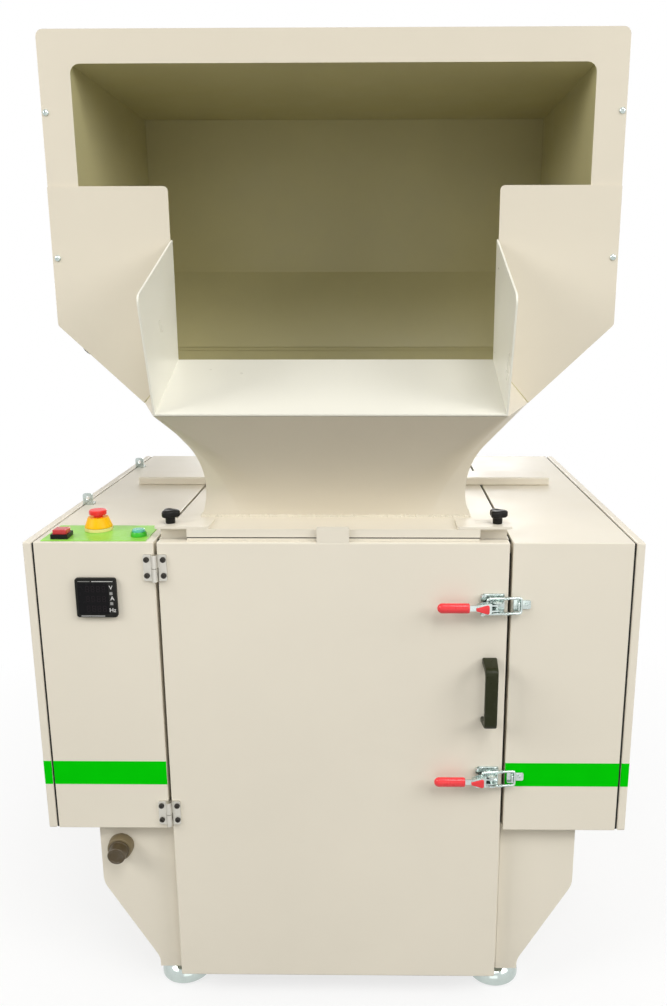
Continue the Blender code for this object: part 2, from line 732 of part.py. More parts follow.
def door():
    """The folded door pan with its centre tab, handle and two hinges."""
    axis = "door_axis"
    add_axis(axis, (HINGE_X, HINGE_Y, 0.0), "machine_datum")
    low, high = (-DOOR_HALF, 0.0, DOOR_BOTTOM), (DOOR_HALF, DOOR_DEPTH, BODY_TOP)
    pan = add_bevel(box("door", low, high, IVORY, axis), 0.0025)
    low = (-DOOR_HALF + SHEET, SHEET, DOOR_BOTTOM + SHEET)
    high = (DOOR_HALF - SHEET, 2 * DOOR_DEPTH, BODY_TOP - SHEET)
    add_boolean(pan, box("door_pocket", low, high, None, axis))
    tab = [
        (-DOOR_TAB_HALF, BODY_TOP - 0.015),
        (DOOR_TAB_HALF, BODY_TOP - 0.015),
        (DOOR_TAB_HALF, BODY_TOP + DOOR_TAB_RISE),
        (-DOOR_TAB_HALF, BODY_TOP + DOOR_TAB_RISE),
    ]
    outline = rounded(tab, [0, 0, 0.003, 0.003], 3)
    at = (0.0, SHEET / 2, 0.0)
    add_boolean(pan, plate("door_tab", [outline], "XZ", at, SHEET - 2 * SEAT, None, axis), "UNION")
    low, high = HANDLE_Z
    bridge = [(-SEAT, low), (-SEAT, high), (-HANDLE_REACH, high - 0.007), (-HANDLE_REACH, low + 0.007)]
    bar = HANDLE_BAR
    near = -HANDLE_REACH + bar
    gap = [(0.010, low + bar), (0.010, high - bar), (near, high - bar - 0.006), (near, low + bar + 0.006)]
    at = (HANDLE_X, 0.0, 0.0)
    outline = rounded(bridge, [0, 0, 0.013, 0.013])
    handle = plate("door_handle", [outline], "YZ", at, HANDLE_WIDTH, BLACK, axis)
    outline = rounded(gap, [0, 0, 0.008, 0.008])
    add_boolean(handle, plate("handle_gap", [outline], "YZ", at, 2 * HANDLE_WIDTH, None, axis))
    add_bevel(handle, 0.0025)
    for name, z in zip(("upper", "lower"), HINGE_Z):
        hinge_leaf(f"{name}_hinge_frame", -1, z, "machine_datum")
        hinge_leaf(f"{name}_hinge_door", 1, z, axis)


def hinge_leaf(name, sign, z, parent):
    """One hinge leaf: the frame's has the pin and the door's has the barrel that turns on it."""
    clear = HINGE_BARREL + 0.0005
    outline = [
        (sign * clear, -HINGE_HALF),
        (sign * HINGE_REACH, -HINGE_HALF),
        (sign * HINGE_REACH, HINGE_HALF),
        (sign * clear, HINGE_HALF),
    ]
    at = (HINGE_X, -SEAT - HINGE_SHEET / 2, z)
    leaf = plate(name, [rounded(outline, [0, 0.003, 0.003, 0], 3)], "XZ", at, HINGE_SHEET, ZINC, parent)
    low, high = (-HINGE_HALF, -0.0005) if sign < 0 else (0.0005, HINGE_HALF)
    xs = sorted((HINGE_X, HINGE_X + sign * (clear + 0.002)))
    front = HINGE_Y + HINGE_BARREL - 0.0028
    web = box(f"{name}_web", (xs[0], front, z + low), (xs[1], -SEAT - 0.0004, z + high), None, parent)
    profile = [(0.0, high), (HINGE_BARREL, high), (HINGE_BARREL, low), (0.0, low)]
    barrel = turned(f"{name}_barrel", profile, (HINGE_X, HINGE_Y, z), None, 16, parent)
    add_boolean(leaf, web, "UNION")
    add_boolean(leaf, barrel, "UNION")
    if sign < 0:
        radius, top, bottom = HINGE_PIN, HINGE_HALF, -HINGE_HALF / 2
    else:
        radius, top, bottom = HINGE_PIN + HINGE_PLAY, 2 * HINGE_HALF, -HINGE_HALF
    profile = [(0.0, top), (radius, top), (radius, bottom), (0.0, bottom)]
    core = turned(f"{name}_core", profile, (HINGE_X, HINGE_Y, z), None, 12, parent)
    add_boolean(leaf, core, "UNION" if sign < 0 else "DIFFERENCE")


def pin_cutter(name, place, radius, half, parent):
    """An upright round cutter or core."""
    profile = [(0.0, half), (radius, half), (radius, -half), (0.0, -half)]
    return turned(name, profile, place, None, 12, parent)


def latch(name, z):
    """A pull-action toggle latch: base, lever with grip, U-shaped bail, and the catch it hooks."""
    pivot = Vector((*LEVER_PIVOT, z))
    bail_pivot = Vector((*BAIL_PIVOT, z))
    lever_axis = f"{name}_lever_axis"
    add_axis(lever_axis, pivot, "door_axis")
    add_axis(f"{name}_bail_axis", bail_pivot, lever_axis)
    low = (LATCH_BASE_X[0], -SEAT - LATCH_SHEET, z - LATCH_BASE_HALF)
    high = (LATCH_BASE_X[1], -SEAT, z + LATCH_BASE_HALF)
    base_plate = box(f"{name}_latch_base", low, high, ZINC, "door_axis")
    front = pivot.y - 0.008
    ear = [(0.276, -0.0015), (0.276, front), (0.292, front), (LATCH_BASE_X[1], -0.0015)]
    outline = rounded(ear, [0, EAR_RADIUS, EAR_RADIUS, 0], 4)
    for side, sign in (("low", -1), ("high", 1)):
        at = (0.0, 0.0, z + sign * EAR_Z)
        lug = plate(f"{name}_ear_{side}", [outline], "XY", at, LATCH_SHEET, None, "door_axis")
        add_boolean(base_plate, lug, "UNION")
    core = pin_cutter(f"{name}_latch_pin", pivot, LATCH_PIN, EAR_Z + 0.0016, "door_axis")
    add_boolean(base_plate, core, "UNION")
    lever(name, pivot, bail_pivot, z, lever_axis)
    path = bail_path(bail_pivot, Vector((*BAIL_BAR, z)))
    rod(f"{name}_bail", path, BAIL_ROD, ZINC, bail_pivot, f"{name}_bail_axis")
    low = (CATCH_X[0], -SEAT - LATCH_SHEET, z - CATCH_HALF)
    catch = box(f"{name}_catch", low, (CATCH_X[1], -SEAT, z + CATCH_HALF), ZINC)
    low = (TONGUE_X[0], -TONGUE_RISE, z - TONGUE_HALF)
    tongue = box(f"{name}_tongue", low, (TONGUE_X[1], -SEAT - 0.001, z + TONGUE_HALF))
    add_boolean(catch, tongue, "UNION")


def lever(name, pivot, bail_pivot, z, axis):
    """The latch lever: two drilled arms, the web and trigger that join them, and the gripped tang."""
    half = ARM_Z + LATCH_SHEET / 2
    right = pivot.x + ARM_ROUND
    left = TRIGGER_X[0]
    arm = [
        (right, pivot.y - ARM_ROUND),
        (right, pivot.y + ARM_ROUND),
        (bail_pivot.x - 0.004, bail_pivot.y + 0.0055),
        (left, -0.0145),
        (left, WEB_Y[0]),
        (bail_pivot.x, WEB_Y[0]),
    ]
    outline = rounded(arm, [0.0060, 0.0060, 0.004, 0.001, 0, 0], 3)
    body = plate(f"{name}_lever", [outline], "XY", (0.0, 0.0, z), 2 * half, ZINC, axis)
    inner = ARM_Z - LATCH_SHEET / 2
    low = (left - 0.010, WEB_Y[1], z - inner)
    add_boolean(body, box(f"{name}_channel", low, (right + 0.010, 0.010, z + inner), None, axis))
    low = (TRIGGER_X[1], pivot.y - 0.020, z - inner)
    add_boolean(body, box(f"{name}_mouth", low, (right + 0.010, 0.010, z + inner), None, axis))
    add_boolean(body, pin_cutter(f"{name}_lever_bore", pivot, LATCH_PIN + PIN_PLAY, 0.03, axis))
    add_boolean(body, pin_cutter(f"{name}_bail_bore", bail_pivot, BAIL_ROD + PIN_PLAY, 0.03, axis))
    tip = GRIP_X[0] + 0.010
    thick = 0.0012
    low = (tip, GRIP_Y - thick, z - 0.005)
    add_boolean(body, box(f"{name}_tang", low, (left + 0.004, GRIP_Y + thick, z + 0.005), None, axis), "UNION")
    wide, narrow = 0.0095, 0.0060
    trigger = [
        (TRIGGER_X[0], z - narrow),
        (TRIGGER_X[1], z - wide),
        (TRIGGER_X[1], z + wide),
        (TRIGGER_X[0], z + narrow),
    ]
    at = (0.0, WEB_Y[0] - 0.0005, 0.0)
    cover = plate(f"{name}_trigger", [rounded(trigger, 0.0015, 2)], "XZ", at, 0.003, None, axis)
    add_boolean(body, cover, "UNION")
    low = (GRIP_X[0], GRIP_Y - GRIP_HALF[0], z - GRIP_HALF[1])
    high = (GRIP_X[1], GRIP_Y + GRIP_HALF[0], z + GRIP_HALF[1])
    grip = add_bevel(box(f"{name}_grip", low, high, RED, axis), 0.0045, 3)
    low = (tip - SEAT, GRIP_Y - thick - SEAT, z - 0.005 - SEAT)
    high = (GRIP_X[1] + 0.010, GRIP_Y + thick + SEAT, z + 0.005 + SEAT)
    add_boolean(grip, box(f"{name}_sleeve", low, high, None, axis))


def bail_path(start, end):
    """A U whose two ends turn in to form its pivot, as points from one end to the other."""
    up = Vector((0.0, 0.0, 1.0))
    corners = [start - up * BAIL_TIP, start - up * BAIL_HALF, end - up * BAIL_HALF]
    corners += [end + up * BAIL_HALF, start + up * BAIL_HALF, start + up * BAIL_TIP]
    points = [corners[0]]
    for before, here, after in zip(corners, corners[1:], corners[2:]):
        into = (before - here).normalized()
        out = (after - here).normalized()
        centre = here + (into + out) * BAIL_BEND
        for step in range(5):
            turn = math.radians(90) * step / 4
            points.append(centre - out * BAIL_BEND * math.cos(turn) - into * BAIL_BEND * math.sin(turn))
    points.append(corners[-1])
    return points


def controls():
    """Label plate, push buttons, emergency stop, meter and the capped port."""
    top = BODY_TOP + SEAT + PLATE_SHEET
    low = (PLATE_X[0], PLATE_Y[0], BODY_TOP + SEAT)
    box("button_plate", low, (PLATE_X[1], PLATE_Y[1], top), GREEN)
    seat = top + SEAT
    place = (*STOP_AT, seat)
    cone = [(0.0185, STOP_COLLAR), (0.0245, 0.007), (0.0250, 0.006), (0.0250, 0.0), (0.0084, 0.0), (0.0084, STOP_COLLAR)]
    turned("estop_collar", cone, place, YELLOW, 28)
    add_axis("estop_axis", place, "machine_datum")
    cap = STOP_COLLAR + STOP_STROKE + 0.001
    foot = STOP_STROKE + 0.0015
    mushroom = [
        (0.0, cap + 0.0080),
        (0.0110, cap + 0.0076),
        (0.0148, cap + 0.0060),
        (0.0155, cap + 0.0030),
        (0.0155, cap),
        (0.0080, cap),
        (0.0080, foot),
        (0.0, foot),
    ]
    turned("estop_button", mushroom, place, RED, 24, "estop_axis")
    x, y = RED_AT
    bezel = box("red_bezel", (x - 0.015, y - 0.015, seat), (x + 0.015, y + 0.015, seat + 0.008), BLACK)
    low, high = (x - 0.0125, y - 0.0125, seat + 0.003), (x + 0.0125, y + 0.0125, seat + 0.020)
    add_boolean(bezel, box("red_well", low, high))
    add_axis("red_button_axis", (x, y, seat), "machine_datum")
    low = (x - 0.0120, y - 0.0120, seat + 0.003 + BUTTON_STROKE + 0.0005)
    high = (x + 0.0120, y + 0.0120, seat + 0.0155)
    add_bevel(box("red_button", low, high, RED, "red_button_axis"), 0.0015)
    x, y = GREEN_AT
    ring = [(0.0115, 0.008), (0.0125, 0.008), (0.0140, 0.0055), (0.0140, 0.0), (0.0, 0.0), (0.0, 0.003), (0.0115, 0.003)]
    turned("green_bezel", ring, (x, y, seat), BLACK, 24)
    add_axis("green_button_axis", (x, y, seat), "machine_datum")
    cap = [(0.0, 0.0125), (0.0095, 0.0120), (0.0110, 0.0105), (0.0110, 0.0065), (0.0, 0.0065)]
    turned("green_button", cap, (x, y, seat), GREEN, 24, "green_button_axis")
    half = METER_SIZE / 2
    corners = [(-half, -half), (half, -half), (half, half), (-half, half)]
    at = (METER_AT[0], -(METER_DEPTH + SEAT) / 2, METER_AT[1])
    add_bevel(plate("panel_meter", [rounded(corners, 0.005)], "XZ", at, METER_DEPTH - SEAT, BLACK), 0.001, 1)
    length = PORT_LENGTH
    profile = [
        (0.0, length),
        (0.0155, length),
        (0.0165, length - 0.001),
        (0.0170, length * 0.55),
        (0.0215, length * 0.48),
        (0.0225, length * 0.42),
        (0.0225, 0.007),
        (0.0240, 0.006),
        (0.0240, 0.0),
        (0.0, 0.0),
    ]
    cap = turned("port_cap", profile, (PORT_X, WING_FRONT - SEAT, PORT_Z), BLACK)
    cap.rotation_euler = (math.radians(90), 0.0, 0.0)


def fittings():
    """Padlock clips on the left edge and the hopper's rubber buffer."""
    low = BODY_TOP + SEAT
    for name, y in zip(("front", "rear"), CLIP_Y):
        corners = [(-CLIP_HALF, 0.0), (CLIP_HALF, 0.0), (CLIP_HALF, CLIP_HEIGHT), (-CLIP_HALF, CLIP_HEIGHT)]
        outline = rounded(corners, [0, 0, 0.005, 0.005], 3)
        clip = plate(f"panel_clip_{name}", [outline, circle(0.0, 0.014, 0.004, 12)], "XZ", (CLIP_X, y, low), SHEET, ZINC)
        foot_low, foot_high = (CLIP_X - CLIP_HALF, y - 0.001, low), (CLIP_X + CLIP_HALF, y + 0.018, low + SHEET)
        add_boolean(clip, box(f"panel_clip_{name}_foot", foot_low, foot_high), "UNION")
    outward = Vector((-math.cos(FLANK_ANGLE), 0.0, -math.sin(FLANK_ANGLE)))
    place = Vector((-flank_half(BUFFER_Z), BUFFER_Y, BUFFER_Z)) + outward * SEAT
    profile = [(0.0, 0.022), (0.012, 0.022), (0.014, 0.019), (0.014, 0.0), (0.0, 0.0)]
    buffer = turned("hopper_buffer", profile, place, BLACK, 16)
    buffer.rotation_euler = outward.to_track_quat("Z", "Y").to_euler()


datum = add_axis("machine_datum", (0.0, 0.0, 0.0))
datum.location = (0.0, -(BODY_DEPTH + min(depth for depth, height in tray_side())) / 2, 0.0)
base()
cabinets()
bay()
deck()
hopper()
funnel()
tray()
door()
for latch_name, latch_z in zip(("upper", "lower"), LATCH_Z):
    latch(latch_name, latch_z)
controls()
fittings()
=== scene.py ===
"""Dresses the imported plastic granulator: finishes, fittings, floor, lamps and camera.

Metres, +Z up, X to the right, Y to the back. Sizes are measured from the front face of the
cabinets (y = 0) and the floor (z = 0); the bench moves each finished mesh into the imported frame.
"""

from __future__ import annotations

import logging
import math
from dataclasses import dataclass
from enum import Enum
from functools import cache
from typing import Callable, Sequence

import bmesh
import bpy
from bpy.types import Material, Mesh, Node, NodeSocket, Object
from mathutils import Matrix, Vector

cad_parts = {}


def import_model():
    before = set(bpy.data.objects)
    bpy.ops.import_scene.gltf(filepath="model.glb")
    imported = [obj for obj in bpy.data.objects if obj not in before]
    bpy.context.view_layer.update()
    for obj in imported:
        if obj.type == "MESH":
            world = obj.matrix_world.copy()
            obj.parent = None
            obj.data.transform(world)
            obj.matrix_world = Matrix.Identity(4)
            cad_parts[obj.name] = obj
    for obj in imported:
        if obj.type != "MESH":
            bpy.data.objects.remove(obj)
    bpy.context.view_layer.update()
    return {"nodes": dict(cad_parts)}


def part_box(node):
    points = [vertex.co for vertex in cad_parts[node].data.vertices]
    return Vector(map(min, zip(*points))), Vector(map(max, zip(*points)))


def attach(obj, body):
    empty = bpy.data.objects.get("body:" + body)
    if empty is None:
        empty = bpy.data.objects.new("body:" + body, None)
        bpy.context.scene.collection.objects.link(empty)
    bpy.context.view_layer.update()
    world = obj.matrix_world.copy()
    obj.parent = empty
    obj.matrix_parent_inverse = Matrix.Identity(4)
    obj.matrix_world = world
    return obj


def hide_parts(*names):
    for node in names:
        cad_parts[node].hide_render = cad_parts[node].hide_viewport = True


log = logging.getLogger("granulator")

Point = tuple[float, float]
Place = tuple[float, float, float]
Colour = tuple[float, float, float]

# Gap between pieces that rest on one another, and the two ways that most fittings face
SEAT = 0.0003
FORWARD = (0.0, -1.0, 0.0)
UPWARD = (0.0, 0.0, 1.0)


def tint(red: int, green: int, blue: int) -> Colour:
    """Linear colour of a display colour from 0 to 255."""
    parts = [part / 255 for part in (red, green, blue)]
    return tuple(part / 12.92 if part <= 0.04045 else ((part + 0.055) / 1.055) ** 2.4 for part in parts)


def scaled(colour: Colour, factor: float) -> tuple[float, float, float, float]:
    """A colour made lighter or darker, with full alpha."""
    return (*(min(1.0, part * factor) for part in colour), 1.0)


def add_node(tree: bpy.types.NodeTree, kind: str, inputs: dict | None, settings: dict[str, object]) -> Node:
    """Adds a node to a tree of any kind.

    Args:
        tree: The tree.
        kind: The node's type name.
        inputs: Values or sockets for its inputs, by name or index.
        settings: Properties of the node itself.

    Returns:
        The new node.
    """
    node = tree.nodes.new(kind)
    for key, value in settings.items():
        setattr(node, key, value)
    for key, value in (inputs or {}).items():
        if isinstance(value, NodeSocket):
            tree.links.new(value, node.inputs[key])
        else:
            node.inputs[key].default_value = value
    return node


# ---------------------------------------------------------------- finishes


class Graph:
    """One material's shader nodes, added one at a time."""

    def __init__(self, name: str) -> None:
        """Starts a material.

        Args:
            name: The material's name.
        """
        self.material = bpy.data.materials.new(name)
        self.material.use_nodes = True
        self.tree = self.material.node_tree
        self.shader = self.tree.nodes["Principled BSDF"]

    def add(self, kind: str, inputs: dict | None = None, **settings: object) -> Node:
        """Adds a node.

        Args:
            kind: The node's type name.
            inputs: Values or sockets for its inputs, by name or index.
            **settings: Properties of the node itself.

        Returns:
            The new node.
        """
        return add_node(self.tree, kind, inputs, settings)

    def noise(self, scale: float, detail: float = 3.0, stretch: Place = (1.0, 1.0, 1.0)) -> NodeSocket:
        """Noise on the piece's own coordinates.

        Args:
            scale: Blobs per metre.
            detail: Octaves.
            stretch: Scale along each axis.

        Returns:
            The noise from 0 to 1.
        """
        place = self.add("ShaderNodeTexCoord").outputs["Object"]
        mapped = self.add("ShaderNodeMapping", {"Vector": place, "Scale": stretch}).outputs["Vector"]
        noise = self.add("ShaderNodeTexNoise", {"Vector": mapped, "Scale": scale, "Detail": detail})
        return noise.outputs["Fac"]

    def height(self) -> NodeSocket:
        """Height above the floor."""
        place = self.add("ShaderNodeTexCoord").outputs["Object"]
        return self.add("ShaderNodeSeparateXYZ", {"Vector": place}).outputs["Z"]

    def ramp(self, value: NodeSocket, source: Point, target: Point) -> NodeSocket:
        """Maps a range of values onto another.

        Args:
            value: The value to map.
            source: The range it comes from.
            target: The range it goes to.

        Returns:
            The mapped value, kept inside the target range.
        """
        inputs = {0: value, 1: source[0], 2: source[1], 3: target[0], 4: target[1]}
        return self.add("ShaderNodeMapRange", inputs, clamp=True).outputs["Result"]

    def times(self, first: NodeSocket, second: NodeSocket) -> NodeSocket:
        """Product of two values."""
        return self.add("ShaderNodeMath", {0: first, 1: second}, operation="MULTIPLY").outputs[0]

    def below(self, value: NodeSocket | float, limit: NodeSocket | float) -> NodeSocket:
        """1 where a value is below a limit, otherwise 0."""
        return self.add("ShaderNodeMath", {0: value, 1: limit}, operation="LESS_THAN").outputs[0]

    def inward(self, behind: float) -> NodeSocket:
        """Marks the faces of a shell that look at its inside, where painted shade goes.

        Args:
            behind: Depth behind which a face that looks forward is an inner one.

        Returns:
            1 on a side that faces the middle, on a ceiling and on the back's inner side, otherwise 0.
        """
        place = self.add("ShaderNodeTexCoord").outputs["Object"]
        x, y, _ = self.add("ShaderNodeSeparateXYZ", {"Vector": place}).outputs
        normal = self.add("ShaderNodeNewGeometry").outputs["True Normal"]
        across, along, up = self.add("ShaderNodeSeparateXYZ", {"Vector": normal}).outputs
        back = self.times(self.below(along, -0.5), self.below(behind, y))
        side = self.below(self.times(x, across), -0.01)
        inner = self.add("ShaderNodeMath", {0: side, 1: self.below(up, -0.9)}, operation="MAXIMUM").outputs[0]
        return self.add("ShaderNodeMath", {0: inner, 1: back}, operation="MAXIMUM").outputs[0]

    def mix(self, factor: NodeSocket, first: object, second: object) -> NodeSocket:
        """Mixes two colours.

        Args:
            factor: Share of the second colour.
            first: Colour or socket.
            second: Colour or socket.

        Returns:
            The mixed colour.
        """
        inputs = {0: factor, 6: first, 7: second}
        return self.add("ShaderNodeMix", inputs, data_type="RGBA").outputs[2]

    def wire(self, socket: NodeSocket, name: str) -> None:
        """Links a socket to the surface shader."""
        self.tree.links.new(socket, self.shader.inputs[name])

    def fix(self, values: dict[str, float]) -> None:
        """Sets the surface shader's own uniform values by name."""
        for name, value in values.items():
            self.shader.inputs[name].default_value = value

    def bump(self, height: NodeSocket, depth: float, strength: float = 1.0) -> None:
        """Raises the surface by a pattern.

        Args:
            height: The pattern.
            depth: Its depth in metres.
            strength: Share of the effect.
        """
        inputs = {"Height": height, "Distance": depth, "Strength": strength}
        self.wire(self.add("ShaderNodeBump", inputs).outputs["Normal"], "Normal")


@dataclass(frozen=True)
class Paint:
    """Powder coat on sheet steel: faint clouds, an orange peel, a little dust near the floor, and painted shade on a
    shell's inside where an inner colour is given.
    """

    name: str
    slot: str
    colour: Colour
    roughness: float = 0.40
    clouds: float = 0.025
    dust: float = 0.22
    peel: float = 0.00006
    grain: float = 420.0
    # Darker olive tone for the faces that look into a shell: painted shade of the hopper's inside
    inner: Colour | None = None
    behind: float = -0.17

    def build(self) -> Material:
        """Builds the material; an inner colour goes on the faces that look at a shell's inside, as painted shade."""
        graph = Graph(self.name)
        cloud = graph.ramp(graph.noise(2.4, 4.0), (0.3, 0.7), (0.0, 1.0))
        base = graph.mix(cloud, scaled(self.colour, 1 - self.clouds), scaled(self.colour, 1 + self.clouds))
        # Painted shade: the inner faces take the darker inner tone in place of the shade inside the hopper
        if self.inner:
            painted_shade = graph.mix(graph.noise(7.0, 6.0), scaled(self.inner, 0.92), scaled(self.inner, 1.08))
            base = graph.mix(graph.inward(self.behind), base, painted_shade)
        low = graph.ramp(graph.height(), (0.03, 0.30), (self.dust, 0.0))
        soiled = graph.times(low, graph.ramp(graph.noise(9.0, 6.0, (1.0, 1.0, 0.35)), (0.35, 0.75), (0.1, 1.0)))
        base = graph.mix(soiled, base, scaled(self.colour, 0.62))
        smear = graph.ramp(graph.noise(5.0, 8.0, (1.0, 1.0, 2.5)), (0.62, 0.80), (0.0, 0.10))
        graph.wire(graph.mix(smear, base, scaled(self.colour, 0.80)), "Base Color")
        gloss = graph.ramp(graph.noise(14.0, 4.0), (0.3, 0.7), (self.roughness - 0.05, self.roughness + 0.07))
        graph.wire(gloss, "Roughness")
        graph.fix({"Specular IOR Level": 0.45})
        graph.bump(graph.noise(self.grain, 2.0), self.peel, 0.6)
        return graph.material


@dataclass(frozen=True)
class Plated:
    """Zinc or chrome plate: metal with a wandering tint and polish."""

    name: str
    slot: str
    colour: Colour
    roughness: float
    spread: float = 0.10
    hint: Colour = (0.55, 0.60, 0.48)
    scratches: float = 0.00001

    def build(self) -> Material:
        """Builds the material."""
        graph = Graph(self.name)
        cloud = graph.ramp(graph.noise(90.0, 5.0), (0.35, 0.70), (0.0, 0.35))
        graph.wire(graph.mix(cloud, scaled(self.colour, 1.0), scaled(self.hint, 1.0)), "Base Color")
        gloss = graph.ramp(graph.noise(160.0, 4.0), (0.3, 0.7), (self.roughness, self.roughness + self.spread))
        graph.wire(gloss, "Roughness")
        graph.fix({"Metallic": 1.0})
        graph.bump(graph.noise(700.0, 3.0, (0.2, 1.0, 1.0)), self.scratches, 0.5)
        return graph.material


@dataclass(frozen=True)
class Moulded:
    """Plastic or rubber: a coloured body with a moulded grain, scuffed paler here and there."""

    name: str
    slot: str
    colour: Colour
    roughness: float = 0.42
    grain: float = 900.0
    depth: float = 0.00004
    scuff: float = 0.12
    coat: float = 0.0
    gloss: float = 0.35

    def build(self) -> Material:
        """Builds the material."""
        graph = Graph(self.name)
        worn = tuple(part + (0.45 - part) * 0.35 if part < 0.45 else part for part in self.colour)
        cloud = graph.ramp(graph.noise(70.0, 6.0), (0.50, 0.78), (0.0, self.scuff))
        shadeful = graph.mix(graph.noise(22.0, 3.0), scaled(self.colour, 0.93), scaled(self.colour, 1.07))
        graph.wire(graph.mix(cloud, shadeful, scaled(worn, 1.0)), "Base Color")
        gloss = graph.ramp(graph.noise(120.0, 3.0), (0.3, 0.7), (self.roughness - 0.06, self.roughness + 0.10))
        graph.wire(gloss, "Roughness")
        graph.fix({"Coat Weight": self.coat, "Coat Roughness": 0.08, "Specular IOR Level": self.gloss})
        graph.bump(graph.noise(self.grain, 2.0), self.depth, 0.6)
        return graph.material


@dataclass(frozen=True)
class FoamAndShade:
    """Open foam strip: dark, matt and pitted; partly real seal and partly painted shade that deepens the machine's
    seams and gaps.
    """

    name: str
    slot: str
    colour: Colour = (0.012, 0.012, 0.011)

    def build(self) -> Material:
        """Builds the material."""
        graph = Graph(self.name)
        place = graph.add("ShaderNodeTexCoord").outputs["Object"]
        cells = graph.add("ShaderNodeTexVoronoi", {"Vector": place, "Scale": 700.0}).outputs["Distance"]
        graph.wire(graph.mix(cells, scaled(self.colour, 0.5), scaled(self.colour, 2.0)), "Base Color")
        graph.wire(graph.ramp(graph.noise(200.0), (0.3, 0.7), (0.85, 1.0)), "Roughness")
        graph.bump(cells, 0.0005)
        return graph.material


class Finish(Enum):
    """The finishes of the machine's pieces."""

    # IVORY and HOPPER are one ivory paint: IVORY is made lighter than the hopper's outside as painted light, evening
    # out how the lamps light the low cabinets and the high hopper
    IVORY = Paint("ivory_powder_coat", "ivory_paint", tint(229, 222, 206), dust=0.06)
    # The hopper's ivory, with a darker olive tone on its inner faces as painted shade
    HOPPER = Paint("ivory_with_painted_shade_inside", "ivory_paint", tint(219, 211, 193), inner=tint(194, 187, 142))
    # A lighter copy of the ivory for the feed tray: painted light, where the strongest light falls
    TRAY = Paint("ivory_with_painted_light", "ivory_paint", tint(240, 238, 226), 0.32)
    WELD = Paint("painted_weld", "ivory_paint", tint(222, 215, 197), 0.45, 0.06, 0.0, 0.0005, 260.0)
    ZINC = Plated("zinc_plate_finish", "zinc_plate", (0.60, 0.67, 0.65), 0.15, 0.16, (0.30, 0.37, 0.33))
    SATIN_ZINC = Plated("satin_zinc", "zinc_plate", (0.60, 0.58, 0.52), 0.36, 0.12, (0.50, 0.48, 0.42))
    CHROME = Plated("chrome_finish", "chrome", (0.56, 0.63, 0.60), 0.10, 0.10, (0.46, 0.52, 0.50))
    DARK_STEEL = Plated("blackened_steel", "zinc_plate", (0.050, 0.047, 0.043), 0.38, 0.14, (0.09, 0.08, 0.06))
    BLACK = Moulded("black_nylon", "black_plastic", tint(22, 22, 19), 0.34, 900.0, 0.00004, 0.04, 0.0, 0.16)
    OLIVE_BLACK = Moulded("olive_black_nylon", "black_plastic", tint(36, 39, 16), 0.32, 900.0, 0.00005, 0.08, 0.0, 0.16)
    FADED_BLACK = Moulded("faded_black_nylon", "black_plastic", tint(74, 62, 40), 0.34, 500.0, 0.00008, 0.26)
    DULL_BACK = Moulded("dull_olive_plastic", "black_plastic", tint(116, 103, 76), 0.34, 500.0, 0.00006)
    RUBBER = Moulded("black_rubber_finish", "black_rubber", tint(30, 30, 29), 0.70, 600.0, 0.00010, 0.20)
    FOAM_AND_SHADE = FoamAndShade("black_foam_and_painted_shade", "black_rubber")
    RED_GRIP = Moulded("red_dipped_vinyl", "red_plastic", tint(236, 52, 58), 0.30, 260.0, 0.00005, 0.0, 0.35)
    STOP_RED = Moulded("stop_red", "red_plastic", tint(236, 38, 32), 0.32, 900.0, 0.00003, 0.0, 0.2)
    BUTTON_RED = Moulded("button_red", "red_plastic", tint(196, 50, 50), 0.30, 900.0, 0.00003, 0.0, 0.3)
    YELLOW = Moulded("stop_yellow", "yellow_plastic", tint(255, 186, 0), 0.40, 800.0, 0.00004, 0.0, 0.0, 0.2)
    PALE_RING = Moulded("pale_yellow_ring", "yellow_plastic", tint(226, 216, 138), 0.40, 800.0, 0.00004, 0.0)
    LIME = Moulded("lime_film", "green_plastic", tint(150, 216, 84), 0.34, 300.0, 0.00003, 0.0, 0.1, 0.25)
    STRIPE = Moulded("green_film", "green_plastic", tint(0, 202, 4), 0.45, 160.0, 0.00003, 0.0, 0.0, 0.03)
    RING_GREEN = Moulded("button_green", "green_plastic", tint(54, 182, 36), 0.30, 900.0, 0.00003, 0.0, 0.2)
    TEAL = Moulded("button_teal", "green_plastic", tint(92, 190, 168), 0.26, 900.0, 0.00003, 0.0, 0.4)
    WINDOW = Moulded("meter_window", "black_plastic", tint(13, 12, 14), 0.22, 300.0, 0.00001, 0.0, 0.0, 0.12)
    GHOST = Moulded("unlit_segments", "black_plastic", tint(31, 25, 28), 0.30, 300.0, 0.00001, 0.0, 0.0, 0.12)
    MARK = Moulded("white_marks", "black_plastic", tint(232, 232, 230), 0.45, 900.0, 0.00002, 0.0)
    GREY_MARK = Moulded("grey_marks", "black_plastic", tint(150, 150, 148), 0.45, 900.0, 0.00002, 0.0)

    @property
    def slot(self) -> str:
        """The record's slot of this finish."""
        return self.value.slot

    @cache
    def material(self) -> Material:
        """The finish's material, built once."""
        return self.value.build()


class Body(Enum):
    """The bodies that pieces ride on."""

    MACHINE = "machine"
    DOOR = "door_leaf"
    UPPER_LEVER = "upper_latch_lever"
    UPPER_BAIL = "upper_latch_bail"
    LOWER_LEVER = "lower_latch_lever"
    LOWER_BAIL = "lower_latch_bail"
    KNOB_LEFT = "knob_left"
    KNOB_RIGHT = "knob_right"
    STOP = "estop_head"
    RED = "red_push"
    GREEN = "green_push"


# ---------------------------------------------------------------- shapes


class Plane(Enum):
    """The plane of an outline: seen from above, from the front or from the side."""

    DECK = "deck"
    FRONT = "front"
    SIDE = "side"

    def place(self, across: float, up: float, depth: float) -> Vector:
        """A point of an outline at a depth along the third axis."""
        if self is Plane.DECK:
            return Vector((across, up, depth))
        return Vector((across, depth, up)) if self is Plane.FRONT else Vector((depth, across, up))


